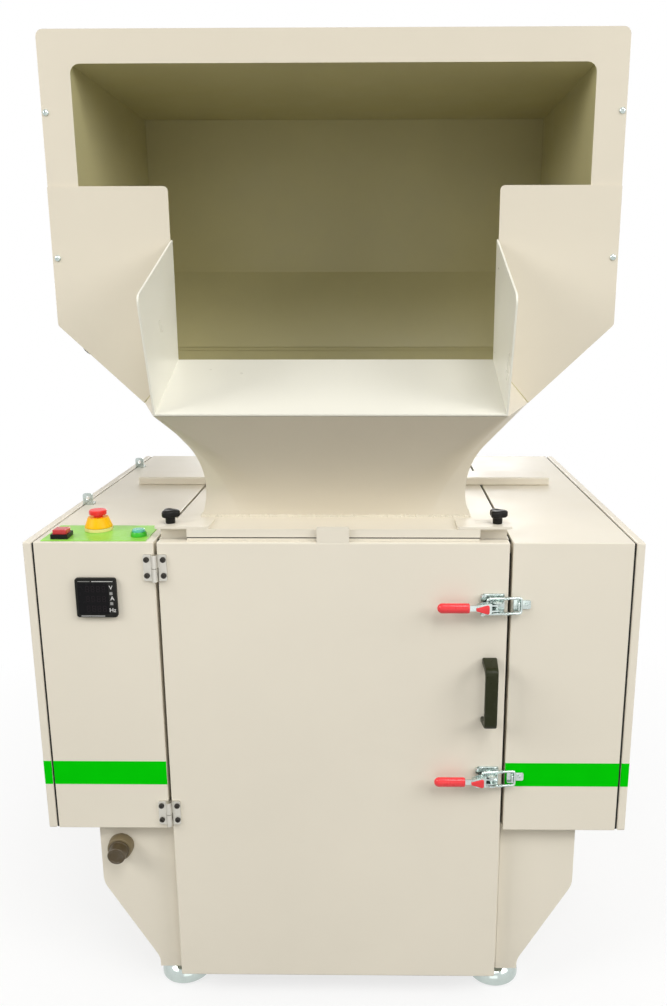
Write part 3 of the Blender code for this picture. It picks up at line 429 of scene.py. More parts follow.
def rounded(corners: Sequence[Point], radii: Sequence[float] | float, steps: int = 8) -> list[Point]:
    """Turns an outline's corners into arcs.

    Args:
        corners: The corners in order.
        radii: One radius for all, or one for each corner.
        steps: Segments in each arc.

    Returns:
        The outline's points.
    """
    each = [radii] * len(corners) if isinstance(radii, float) else list(radii)
    points: list[Point] = []
    for index, corner in enumerate(corners):
        here = Vector(corner)
        if not each[index]:
            points.append(tuple(here))
            continue
        before = (Vector(corners[index - 1]) - here).normalized()
        after = (Vector(corners[(index + 1) % len(corners)]) - here).normalized()
        half = before.angle(after) / 2
        centre = here + (before + after).normalized() * each[index] / math.sin(half)
        start = here + before * each[index] / math.tan(half) - centre
        end = here + after * each[index] / math.tan(half) - centre
        sweep = math.atan2(start.x * end.y - start.y * end.x, start.dot(end))
        for step in range(steps + 1):
            turn = Matrix.Rotation(sweep * step / steps, 2)
            points.append(tuple(centre + turn @ start))
    return points


def square(half: float) -> list[Point]:
    """Corners of a square about its centre."""
    return [(-half, -half), (half, -half), (half, half), (-half, half)]


def moved(points: Sequence[Point], across: float, up: float) -> list[Point]:
    """An outline moved in its plane."""
    return [(x + across, y + up) for x, y in points]


def mirrored(half: Sequence[Vector]) -> list[Vector]:
    """The right half of an outline, from its left half's last point back to its first."""
    return [Vector((-point.x, point.y, point.z)) for point in reversed(half)]


def hexed(turn: float) -> float:
    """Reach of a hexagon against its corner circle at an angle."""
    return math.cos(math.radians(30)) / math.cos(turn % math.radians(60) - math.radians(30))


class Shape:
    """A mesh that grows closed part by closed part."""

    def __init__(self) -> None:
        """Starts empty."""
        self.parts = bmesh.new()

    def take(self, part: bmesh.types.BMesh, bevel: float = 0.0, segments: int = 3, limit: float = 30.0) -> Shape:
        """Adds a closed part with its sharp edges rounded.

        Args:
            part: The part, used up by this call.
            bevel: Width of the rounded edges.
            segments: Faces across a rounded edge.
            limit: Degrees from which an edge counts as sharp.

        Returns:
            The shape itself.
        """
        bmesh.ops.recalc_face_normals(part, faces=part.faces)
        if bevel:
            sharp = [
                edge
                for edge in part.edges
                if len(edge.link_faces) == 2 and edge.calc_face_angle(0.0) > math.radians(limit)
            ]
            bmesh.ops.bevel(
                part,
                geom=sharp,
                offset=bevel,
                offset_type="OFFSET",
                segments=segments,
                profile=0.5,
                affect="EDGES",
                clamp_overlap=True,
            )
        scratch = bpy.data.meshes.new("scratch")
        part.to_mesh(scratch)
        part.free()
        self.parts.from_mesh(scratch)
        bpy.data.meshes.remove(scratch)
        return self

    def prism(
        self, outline: Sequence[Point], plane: Plane, low: float, high: float, bevel: float = 0.0, segments: int = 3
    ) -> Shape:
        """Adds a prism.

        Args:
            outline: Its outline.
            plane: The plane of the outline.
            low: Depth of one end.
            high: Depth of the other end.
            bevel: Width of the rounded edges.
            segments: Faces across a rounded edge.

        Returns:
            The shape itself.
        """
        part = bmesh.new()
        ends = [[part.verts.new(plane.place(x, y, depth)) for x, y in outline] for depth in (low, high)]
        part.faces.new(ends[0])
        part.faces.new(ends[1])
        for i in range(len(outline)):
            j = (i + 1) % len(outline)
            part.faces.new((ends[0][i], ends[0][j], ends[1][j], ends[1][i]))
        return self.take(part, bevel, segments)

    def lathe(
        self,
        profile: Sequence[Point],
        place: Matrix | None = None,
        sides: int = 48,
        waves: dict[int, Callable[[float], float]] | None = None,
    ) -> Shape:
        """Adds a turned part.

        Args:
            profile: Radius and height from the top down the outside; a closed ring if it starts off the axis.
            place: Where the part's own axis goes.
            sides: Faces round it.
            waves: Reach against the radius by angle, for each row of the profile that isn't round.

        Returns:
            The shape itself.
        """
        part = bmesh.new()
        place = place or Matrix.Identity(4)
        rings = []
        for row, (radius, height) in enumerate(profile):
            if radius < 1e-7:
                rings.append([part.verts.new(place @ Vector((0.0, 0.0, height)))])
                continue
            wave = (waves or {}).get(row)
            ring = []
            for side in range(sides):
                turn = 2 * math.pi * side / sides
                reach = radius * (wave(turn) if wave else 1.0)
                ring.append(part.verts.new(place @ Vector((reach * math.cos(turn), reach * math.sin(turn), height))))
            rings.append(ring)
        pairs = list(zip(rings, rings[1:]))
        if len(rings[0]) > 1:
            pairs.append((rings[-1], rings[0]))
        for upper, lower in pairs:
            for i in range(sides):
                j = (i + 1) % sides
                corners = [upper[i % len(upper)], upper[j % len(upper)], lower[j % len(lower)], lower[i % len(lower)]]
                corners = list(dict.fromkeys(corners))
                if len(corners) > 2:
                    part.faces.new(corners)
        return self.take(part)

    def mesh(self, name: str = "shape") -> Mesh:
        """Ends the shape and returns its mesh."""
        mesh = bpy.data.meshes.new(name)
        self.parts.to_mesh(mesh)
        self.parts.free()
        return mesh


def upright(place: Place) -> Matrix:
    """Puts a part's axis upright at a place."""
    return Matrix.Translation(place)


def aimed(place: Place, facing: Place) -> Matrix:
    """Puts a part's axis along a direction at a place."""
    return Matrix.Translation(place) @ Vector(facing).to_track_quat("Z", "Y").to_matrix().to_4x4()


def lettering(words: str, size: float, place: Place, plane: Plane, raised: float = 0.0001) -> Mesh:
    """Plain raised letters made a mesh.

    Args:
        words: The letters.
        size: Height of the type.
        place: Centre of the letters.
        plane: Lying on the deck, or facing the front.
        raised: Thickness.

    Returns:
        The mesh in place.
    """
    curve = bpy.data.curves.new("letters", "FONT")
    curve.body, curve.size, curve.extrude = words, size, raised / 2
    curve.align_x = curve.align_y = "CENTER"
    source = bpy.data.objects.new("letters", curve)
    bpy.context.scene.collection.objects.link(source)
    bpy.context.view_layer.update()
    mesh = bpy.data.meshes.new_from_object(source.evaluated_get(bpy.context.evaluated_depsgraph_get()))
    bpy.data.objects.remove(source, do_unlink=True)
    turn = Matrix.Rotation(math.radians(90), 4, "X") if plane is Plane.FRONT else Matrix.Identity(4)
    mesh.transform(Matrix.Translation(place) @ turn)
    return mesh


def merged(meshes: Sequence[Mesh]) -> Mesh:
    """Several meshes as one, used up by this call."""
    whole = bmesh.new()
    for mesh in meshes:
        whole.from_mesh(mesh)
        bpy.data.meshes.remove(mesh)
    bmesh.ops.remove_doubles(whole, verts=whole.verts, dist=1e-6)
    bmesh.ops.recalc_face_normals(whole, faces=whole.faces)
    result = bpy.data.meshes.new("merged")
    whole.to_mesh(result)
    whole.free()
    return result


# ---------------------------------------------------------------- geometry nodes


class NodeTree:
    """A geometry node tree with named inputs that turns a host mesh into a plain mesh."""

    def __init__(self, name: str) -> None:
        """Starts a tree.

        Args:
            name: The tree's name.
        """
        self.tree = bpy.data.node_groups.new(name, "GeometryNodeTree")
        self.tree.is_modifier = True
        self.tree.interface.new_socket("Geometry", in_out="INPUT", socket_type="NodeSocketGeometry")
        self.tree.interface.new_socket("Geometry", in_out="OUTPUT", socket_type="NodeSocketGeometry")
        self.entry = self.tree.nodes.new("NodeGroupInput")
        self.exit = self.tree.nodes.new("NodeGroupOutput")
        self.input("Finish", "NodeSocketMaterial")

    def input(self, name: str, kind: str, default: float | int | None = None) -> NodeSocket:
        """Adds a named input.

        Args:
            name: Its name.
            kind: Its socket type.
            default: Its value unless one is given.

        Returns:
            The socket inside the tree.
        """
        socket = self.tree.interface.new_socket(name, in_out="INPUT", socket_type=kind)
        if default is not None:
            socket.default_value = default
        return self.entry.outputs[name]

    def add(self, kind: str, inputs: dict | None = None, **settings: object) -> Node:
        """Adds a node with its properties, input values and links."""
        return add_node(self.tree, kind, inputs, settings)

    def end(self, geometry: NodeSocket) -> None:
        """Realizes the instances, sets the finish and ends the tree."""
        real = self.add("GeometryNodeRealizeInstances", {"Geometry": geometry}).outputs["Geometry"]
        done = self.add("GeometryNodeSetMaterial", {"Geometry": real, "Material": self.entry.outputs["Finish"]})
        self.tree.links.new(done.outputs["Geometry"], self.exit.inputs["Geometry"])

    def run(self, host: Mesh, finish: Finish, **values: object) -> Mesh:
        """Runs the tree on a mesh.

        Args:
            host: The host mesh, used up by this call.
            finish: The finish of the result.
            **values: The named inputs, with _ for spaces.

        Returns:
            The result as a plain mesh.
        """
        holder = bpy.data.objects.new("host", host)
        bpy.context.scene.collection.objects.link(holder)
        modifier = holder.modifiers.new("tree", "NODES")
        modifier.node_group = self.tree
        given = {name.replace("_", " ").title(): value for name, value in values.items()}
        given["Finish"] = finish.material()
        for item in self.tree.interface.items_tree:
            if item.in_out == "INPUT" and item.name in given:
                modifier[item.identifier] = given[item.name]
        bpy.context.view_layer.update()
        depsgraph = bpy.context.evaluated_depsgraph_get()
        result = bpy.data.meshes.new_from_object(holder.evaluated_get(depsgraph))
        holder.modifiers.remove(modifier)
        bpy.data.objects.remove(holder, do_unlink=True)
        return merged([result])


class FastenerTree(NodeTree):
    """Sets one head on each point, facing the way the point says and turned at random."""

    def __init__(self) -> None:
        """Builds the tree."""
        super().__init__("fasteners")
        head = self.input("Head", "NodeSocketObject")
        seed = self.input("Seed", "NodeSocketInt", 3)
        spin = self.input("Spin", "NodeSocketFloat", 6.283)
        facing = self.add("GeometryNodeInputNamedAttribute", {"Name": "facing"}, data_type="FLOAT_VECTOR")
        aim = self.add("FunctionNodeAlignRotationToVector", {"Vector": facing.outputs["Attribute"]}, axis="Z")
        random = self.add("FunctionNodeRandomValue", {3: spin, 8: seed}, data_type="FLOAT")
        turn = self.add("FunctionNodeAxisAngleToRotation", {"Axis": UPWARD, "Angle": random.outputs[1]})
        inputs = {"Rotation": aim.outputs[0], "Rotate By": turn.outputs[0]}
        turned = self.add("FunctionNodeRotateRotation", inputs, rotation_space="LOCAL")
        item = self.add("GeometryNodeObjectInfo", {"Object": head})
        inputs = {"Points": self.entry.outputs["Geometry"], "Instance": item.outputs["Geometry"]}
        inputs["Rotation"] = turned.outputs[0]
        self.end(self.add("GeometryNodeInstanceOnPoints", inputs).outputs["Instances"])


class AlongPathTree(NodeTree):
    """Repeats an item along a path, its axis on the path, with a seeded spread of sizes."""

    def __init__(self) -> None:
        """Builds the tree."""
        super().__init__("along_path")
        item = self.input("Item", "NodeSocketObject")
        spacing = self.input("Spacing", "NodeSocketFloat", 0.003)
        spread = self.input("Spread", "NodeSocketFloat", 0.0)
        seed = self.input("Seed", "NodeSocketInt", 5)
        path = self.add("GeometryNodeMeshToCurve", {"Mesh": self.entry.outputs["Geometry"]}).outputs["Curve"]
        inputs = {"Curve": path, "Length": spacing}
        path = self.add("GeometryNodeResampleCurve", inputs, mode="LENGTH").outputs["Curve"]
        tangent = self.add("GeometryNodeInputTangent").outputs["Tangent"]
        aim = self.add("FunctionNodeAlignRotationToVector", {"Vector": tangent}, axis="Z").outputs[0]
        low = self.add("ShaderNodeMath", {0: 1.0, 1: spread}, operation="SUBTRACT").outputs[0]
        high = self.add("ShaderNodeMath", {0: 1.0, 1: spread}, operation="ADD").outputs[0]
        size = self.add("FunctionNodeRandomValue", {2: low, 3: high, 8: seed}, data_type="FLOAT").outputs[1]
        shape = self.add("GeometryNodeObjectInfo", {"Object": item}).outputs["Geometry"]
        inputs = {"Points": path, "Instance": shape, "Rotation": aim, "Scale": size}
        self.end(self.add("GeometryNodeInstanceOnPoints", inputs).outputs["Instances"])


class RodTree(NodeTree):
    """Sweeps a round rod along a path."""

    def __init__(self) -> None:
        """Builds the tree."""
        super().__init__("rod")
        radius = self.input("Radius", "NodeSocketFloat", 0.002)
        sides = self.input("Sides", "NodeSocketInt", 24)
        path = self.add("GeometryNodeMeshToCurve", {"Mesh": self.entry.outputs["Geometry"]}).outputs["Curve"]
        ring = self.add("GeometryNodeCurvePrimitiveCircle", {"Resolution": sides, "Radius": radius}, mode="RADIUS")
        inputs = {"Curve": path, "Profile Curve": ring.outputs["Curve"], "Fill Caps": True}
        self.end(self.add("GeometryNodeCurveToMesh", inputs).outputs["Mesh"])


class SealTree(NodeTree):
    """Sweeps a flat strip along a path, wavering a little as cut foam does."""

    def __init__(self) -> None:
        """Builds the tree."""
        super().__init__("seal")
        depth = self.input("Depth", "NodeSocketFloat", 0.003)
        width = self.input("Width", "NodeSocketFloat", 0.003)
        spacing = self.input("Spacing", "NodeSocketFloat", 0.006)
        waver = self.input("Waver", "NodeSocketFloat", 0.0)
        seed = self.input("Seed", "NodeSocketFloat", 1.0)
        normal = self.input("Facing", "NodeSocketVector")
        path = self.add("GeometryNodeMeshToCurve", {"Mesh": self.entry.outputs["Geometry"]}).outputs["Curve"]
        inputs = {"Curve": path, "Length": spacing}
        path = self.add("GeometryNodeResampleCurve", inputs, mode="LENGTH").outputs["Curve"]
        noise = self.add("ShaderNodeTexNoise", {"Scale": 45.0, "W": seed}, noise_dimensions="4D").outputs["Color"]
        centred = self.add("ShaderNodeVectorMath", {0: noise, 1: (0.5, 0.5, 0.5)}, operation="SUBTRACT").outputs[0]
        shift = self.add("ShaderNodeVectorMath", {0: centred, "Scale": waver}, operation="SCALE").outputs[0]
        path = self.add("GeometryNodeSetPosition", {"Geometry": path, "Offset": shift}).outputs["Geometry"]
        path = self.add("GeometryNodeSetCurveNormal", {"Curve": path, "Normal": normal}, mode="FREE").outputs["Curve"]
        section = self.add("GeometryNodeCurvePrimitiveQuadrilateral", {"Width": depth, "Height": width})
        inputs = {"Curve": path, "Profile Curve": section.outputs["Curve"], "Fill Caps": True}
        self.end(self.add("GeometryNodeCurveToMesh", inputs).outputs["Mesh"])


class RowTree(NodeTree):
    """Repeats an item in an even row."""

    def __init__(self) -> None:
        """Builds the tree."""
        super().__init__("row")
        item = self.input("Item", "NodeSocketObject")
        count = self.input("Count", "NodeSocketInt", 3)
        start = self.input("Start", "NodeSocketVector")
        step = self.input("Step", "NodeSocketVector")
        inputs = {"Count": count, "Start Location": start, "Offset": step}
        line = self.add("GeometryNodeMeshLine", inputs, mode="OFFSET")
        shape = self.add("GeometryNodeObjectInfo", {"Object": item}).outputs["Geometry"]
        inputs = {"Points": line.outputs["Mesh"], "Instance": shape}
        self.end(self.add("GeometryNodeInstanceOnPoints", inputs).outputs["Instances"])


def path_mesh(points: Sequence[Sequence[float]], closed: bool = False) -> Mesh:
    """A path as a mesh of edges."""
    mesh = bpy.data.meshes.new("path")
    edges = [(i, i + 1) for i in range(len(points) - 1)] + ([(len(points) - 1, 0)] if closed else [])
    mesh.from_pydata([tuple(point) for point in points], edges, [])
    return mesh


def point_mesh(points: Sequence[tuple[Place, Place]]) -> Mesh:
    """Points as a mesh of vertices, each with the way it faces."""
    mesh = bpy.data.meshes.new("points")
    mesh.from_pydata([place for place, facing in points], [], [])
    facing = mesh.attributes.new("facing", "FLOAT_VECTOR", "POINT")
    facing.data.foreach_set("vector", [part for place, way in points for part in way])
    return mesh


class Bench:
    """Finishes pieces: runs the node trees, moves each mesh into the frame and sets it on its body."""

    def __init__(self, front: float) -> None:
        """Prepares the trees.

        Args:
            front: Depth of the cabinets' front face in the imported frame.
        """
        self.front = front
        self.fasteners = FastenerTree()
        self.along = AlongPathTree()
        self.rods = RodTree()
        self.seals = SealTree()
        self.rows = RowTree()
        self.count = 0

    def piece(
        self, name: str, mesh: Mesh, finish: Finish, body: Body, replaces: Sequence[str] = (), sharp: float = 35.0
    ) -> Object:
        """Makes a finished piece of a mesh.

        Args:
            name: The piece's name.
            mesh: Its mesh in the machine's own measures.
            finish: Its finish.
            body: The body it rides on.
            replaces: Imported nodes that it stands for.
            sharp: Degrees from which an edge is shown sharp.

        Returns:
            The piece.
        """
        mesh.name = name
        mesh.materials.clear()
        mesh.materials.append(finish.material())
        mesh.transform(Matrix.Translation((0.0, self.front, 0.0)))
        mesh.shade_smooth()
        mesh.set_sharp_from_angle(angle=math.radians(sharp))
        piece = bpy.data.objects.new(name, mesh)
        bpy.context.scene.collection.objects.link(piece)
        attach(piece, body.value)
        if replaces:
            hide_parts(*replaces)
        finish.slot
        self.count += 1
        log.info("%s: %d faces on %s", name, len(mesh.polygons), body.value)
        return piece

    def item(self, shape: Shape) -> Object:
        """A hidden object for the trees to repeat."""
        return bpy.data.objects.new("item", shape.mesh("item"))

    def drop(self, item: Object) -> None:
        """Removes a repeated item after its last use."""
        mesh = item.data
        bpy.data.objects.remove(item, do_unlink=True)
        bpy.data.meshes.remove(mesh)

    def set_heads(
        self, name: str, head: Shape, points: Sequence[tuple[Place, Place]], finish: Finish, body: Body,
        replaces: Sequence[str] = (), seed: int = 3, spin: float = 6.283,
    ) -> Object:
        """Sets the same head on several points as one piece.

        Args:
            name: The piece's name.
            head: The head, its axis along Z and its seat at zero.
            points: Places and the ways they face.
            finish: The finish.
            body: The body the piece rides on.
            replaces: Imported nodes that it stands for.
            seed: Seed of the random turn.
            spin: Largest random turn, in radians.

        Returns:
            The piece.
        """
        item = self.item(head)
        mesh = self.fasteners.run(point_mesh(points), finish, head=item, seed=seed, spin=spin)
        self.drop(item)
        return self.piece(name, mesh, finish, body, replaces)

    def seal(
        self, name: str, paths: Sequence[Sequence[Place]], depth: float, width: float, facing: Place,
        body: Body = Body.MACHINE, waver: float = 0.0, finish: Finish = Finish.FOAM_AND_SHADE,
    ) -> Object:
        """Lays strips of seal along paths as one piece.

        Args:
            name: The piece's name.
            paths: The strips' centre lines; a strip reaches half its depth and half its width to each side.
            depth: Thickness along the facing direction.
            width: Size across it.
            facing: The way the strip faces.
            body: The body the piece rides on.
            waver: Reach of its unevenness.
            finish: The finish.

        Returns:
            The piece.
        """
        values = {"depth": depth, "width": width, "facing": facing, "waver": waver}
        strips = [
            self.seals.run(path_mesh(path), finish, seed=float(index + 1), **values) for index, path in enumerate(paths)
        ]
        return self.piece(name, merged(strips), finish, body)


def domed_screw(radius: float, rise: float) -> Shape:
    """A domed screw head with a hexagon socket.

    Args:
        radius: Radius of the head.
        rise: Height of the head.

    Returns:
        The head with its seat at zero.
    """
    socket = radius * 0.42
    rim = [(radius * math.cos(t), rise * (0.15 + 0.85 * math.sin(t))) for t in (1.05, 0.75, 0.45, 0.18, 0.0)]
    profile = [(0.0, rise * 0.35), (socket, rise * 0.38), (socket * 1.04, rise * 0.97), *rim, (radius, 0.0), (0.0, 0.0)]
    return Shape().lathe(profile, sides=24, waves={1: hexed, 2: hexed})


def socket_screw(radius: float, rise: float) -> Shape:
    """A cylinder head with a rounded rim and a deep hexagon socket.

    Args:
        radius: Radius of the head.
        rise: Height of the head.

    Returns:
        The head with its seat at zero.
    """
    socket, soft = radius * 0.50, rise * 0.22
    profile = [
        (0.0, rise * 0.30),
        (socket, rise * 0.30),
        (socket * 1.03, rise),
        (radius - soft, rise),
        (radius - soft * 0.3, rise - soft * 0.3),
        (radius, rise - soft),
        (radius, 0.0),
        (0.0, 0.0),
    ]
    return Shape().lathe(profile, sides=30, waves={1: hexed, 2: hexed})


# ---------------------------------------------------------------- sub-assemblies


@dataclass
class SheetMetal:
    """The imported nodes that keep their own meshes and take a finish."""

    painted: tuple[str, ...] = (
        "base_wing_left", "base_wing_right", "cabinet_left", "cabinet_right", "side_panel_left", "side_panel_right",
        "bay_lining", "top_plate", "chamber_chute", "neck_flange", "clamp_strap_left", "clamp_strap_right",
        "deck_bar", "door",
    )
    # Hopper sheets that take HOPPER, whose inner faces get painted shade
    painted_shade: tuple[str, ...] = ("hopper_face", "hopper_shell", "hopper_back", "cheek_left", "cheek_right")
    hinges: tuple[str, ...] = ("upper_hinge_frame", "upper_hinge_door", "lower_hinge_frame", "lower_hinge_door")
    plated: tuple[str, ...] = ("upper_lever", "lower_lever", "panel_clip_front", "panel_clip_rear")

    def dress(self, nodes: dict[str, Object]) -> None:
        """Gives every kept node its finish.

        Args:
            nodes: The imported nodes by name.
        """
        groups = {Finish.IVORY: self.painted, Finish.SATIN_ZINC: self.hinges, Finish.ZINC: self.plated}
        groups |= {Finish.HOPPER: self.painted_shade, Finish.TRAY: ("feed_tray",)}
        groups |= {Finish.LIME: ("button_plate",), Finish.BLACK: ("red_bezel",)}
        for finish, names in groups.items():
            for name in names:
                for slot in nodes[name].material_slots:
                    slot.material = finish.material()
                log.info("%s: %s", name, finish.name.lower())


@dataclass
class Hopper:
    """The funnel that folds from the square neck to the skirt, and the hopper's beads, screws and buffer."""

    sheet: float = 0.005
    bottom: float = 0.962 + SEAT
    top: float = 1.2413
    waist_half: float = 0.237
    waist_z: float = 1.003
    waist_radius: float = 0.118
    flank: float = math.radians(46.5)
    neck: Point = (0.100, 0.380)
    neck_fold: float = 0.125
    bend_z: float = 1.000
    back_slope: float = (0.700 - 0.380) / (1.408 - 1.000)
    skirt: Point = (-0.0315, 1.1635)
    power: float = 1.5
    soft: Point = (0.006, 0.100)
    face: float = 0.158
    gusset: Point = (0.289, 1.2383)
    levels: int = 44
    bends: int = 13
    bead: float = 0.0034
    seam_bead: float = 0.0021
    screw: Point = (0.0055, 0.0034)
    screws_at: tuple[Place, ...] = ((0.493, 0.0, 1.661), (0.491, 0.0033, 1.420))
    buffer_at: Point = (0.240, 1.268)

    def half(self, z: float) -> float:
        """Half width of the bent flanks at a height."""
        shoulder_z = self.waist_z + self.waist_radius * math.sin(self.flank)
        if z > shoulder_z:
            shoulder = self.waist_half + self.waist_radius * (1 - math.cos(self.flank))
            return shoulder + (z - shoulder_z) * math.tan(self.flank)
        return self.waist_half + self.waist_radius * (1 - math.cos(math.asin((z - self.waist_z) / self.waist_radius)))

    def back(self, z: float) -> float:
        """Depth of the sloping back at a height."""
        return self.neck[1] + max(0.0, z - self.bend_z) * self.back_slope

    def ring(self, z: float, inset: float) -> list[Vector]:
        """Left half of the outline at a height, from the back corner round to the front.

        Args:
            z: The height.
            inset: Distance inside the outer face.

        Returns:
            The points.
        """
        rise = (z - self.bottom) / (self.skirt[1] - self.bottom)
        front = self.neck[0] + (self.skirt[0] - self.neck[0]) * rise**self.power + inset
        shoulder = self.neck[0] + (self.face - self.neck[0]) * rise + inset
        fold = self.neck_fold + (self.gusset[0] - self.neck_fold) * rise - 0.8 * inset
        side = self.half(z) - inset
        corner = Vector((-fold, front, z))
        flank = Vector((-side, shoulder, z))
        soft = self.soft[0] + (self.soft[1] - self.soft[0]) * (1 - rise)
        ends = []
        for target in (flank, Vector((0.0, front, z))):
            reach = target - corner
            ends.append(corner + reach.normalized() * min(soft, 0.45 * reach.length))
        bend = []
        for step in range(self.bends):
            t = step / (self.bends - 1)
            bend.append(ends[0] * (1 - t) ** 2 + corner * 2 * t * (1 - t) + ends[1] * t**2)
        return [Vector((-side, self.back(z) - inset, z)), flank, *bend]

    def shell(self) -> Mesh:
        """Lofts the funnel's outer and inner skins and closes its rims.

        Returns:
            The closed shell.
        """
        shape = bmesh.new()
        middle = 2 + (self.bends - 1) // 2
        rims = []
        for inset in (0.0, self.sheet):
            rings = []
            for level in range(self.levels + 1):
                z = self.skirt[1] + (self.bottom - self.skirt[1]) * level / self.levels
                left = self.ring(z, inset)
                rings.append([shape.verts.new(point) for point in left + mirrored(left)])
            for upper, lower in zip(rings, rings[1:]):
                for i in range(len(upper)):
                    j = (i + 1) % len(upper)
                    shape.faces.new((upper[i], upper[j], lower[j], lower[i]))
            side = self.half(self.top) - inset
            corners = []
            for sign in (-1, 1):
                back = shape.verts.new((sign * side, self.back(self.top) - inset, self.top))
                front = shape.verts.new((sign * side, self.face + inset, self.top))
                gusset = shape.verts.new((sign * (self.gusset[0] - 0.8 * inset), self.face + inset, self.gusset[1]))
                ring = rings[0][: middle + 1] if sign < 0 else rings[0][: -(middle + 2) : -1]
                shape.faces.new((back, front, ring[1], ring[0]))
                shape.faces.new((front, gusset, ring[1]))
                for near, far in zip(ring[1:], ring[2:]):
                    shape.faces.new((gusset, far, near))
                corners.append((back, front, gusset))
            shape.faces.new((corners[0][0], corners[1][0], rings[0][-1], rings[0][0]))
            last = len(rings[0]) - middle
            rims.append(([*corners[0], *rings[0][middle:last], *reversed(corners[1])], rings[-1]))
        for outer, inner in zip(*rims):
            for i in range(len(outer)):
                j = (i + 1) % len(outer)
                shape.faces.new((outer[i], outer[j], inner[j], inner[i]))
        bmesh.ops.recalc_face_normals(shape, faces=shape.faces)
        mesh = bpy.data.meshes.new("funnel")
        shape.to_mesh(mesh)
        shape.free()
        return mesh

    def build(self, bench: Bench) -> None:
        """Builds the funnel and its fittings."""
        bench.piece("funnel", self.shell(), Finish.HOPPER, Body.MACHINE, ["hopper_funnel"], 20.0)
        left = self.ring(self.bottom, 0.0)
        size = self.bead
        lens = [(0.0, size * 0.8), (size * 0.8, size * 0.4), (size, 0.0), (size * 0.8, -size * 0.4), (0.0, -size * 0.8)]
        ripple = bench.item(Shape().lathe(lens, sides=8))
        seam = path_mesh(left + mirrored(left), True)
        weld = bench.along.run(seam, Finish.WELD, item=ripple, spacing=0.0026, spread=0.22, seed=8)
        bench.drop(ripple)
        bench.piece("neck_weld", weld, Finish.WELD, Body.MACHINE, sharp=80.0)
        ends = ((0.2897, self.gusset[1] - 0.0008), (self.half(self.skirt[1]) + 0.0005, self.skirt[1] + 0.0009))
        beads = [path_mesh([(sign * x, self.face - 0.0014, z) for x, z in ends]) for sign in (-1, 1)]
        beads = [bench.rods.run(bead, Finish.HOPPER, radius=self.seam_bead, sides=12) for bead in beads]
        bench.piece("cheek_seams", merged(beads), Finish.HOPPER, Body.MACHINE)
        low, high = (self.back(self.top - 0.007), self.top - 0.007), (self.back(self.top + 0.009), self.top + 0.009)
        inner, cover = -self.sheet - SEAT, -self.sheet - 0.0015
        strip = [(y + inner, z) for y, z in (low, high)] + [(y + cover, z) for y, z in (high, low)]
        side = self.half(self.top - 0.007) - self.sheet - 0.002
        shape = Shape().prism(strip, Plane.SIDE, -side, side, 0.0003, 1)
        bench.piece("back_seam_strip", shape.mesh(), Finish.HOPPER, Body.MACHINE)
        points = [((sign * x, self.face - lift, z), FORWARD) for sign in (-1, 1) for x, lift, z in self.screws_at]
        bench.set_heads("hopper_screws", domed_screw(*self.screw), points, Finish.ZINC, Body.MACHINE)
        outward = Vector((-math.cos(self.flank), 0.0, -math.sin(self.flank)))
        y, z = self.buffer_at
        foot = Vector((-self.half(z), y, z)) + outward * SEAT
        profile = rounded([(0.0, 0.022), (0.0125, 0.022), (0.014, 0.0), (0.0, 0.0)], [0.0, 0.004, 0.001, 0.0], 5)
        tip = Shape().lathe(profile, aimed(tuple(foot), tuple(outward)), 32)
        bench.piece("buffer_tip", tip.mesh(), Finish.RUBBER, Body.MACHINE, ["hopper_buffer"])


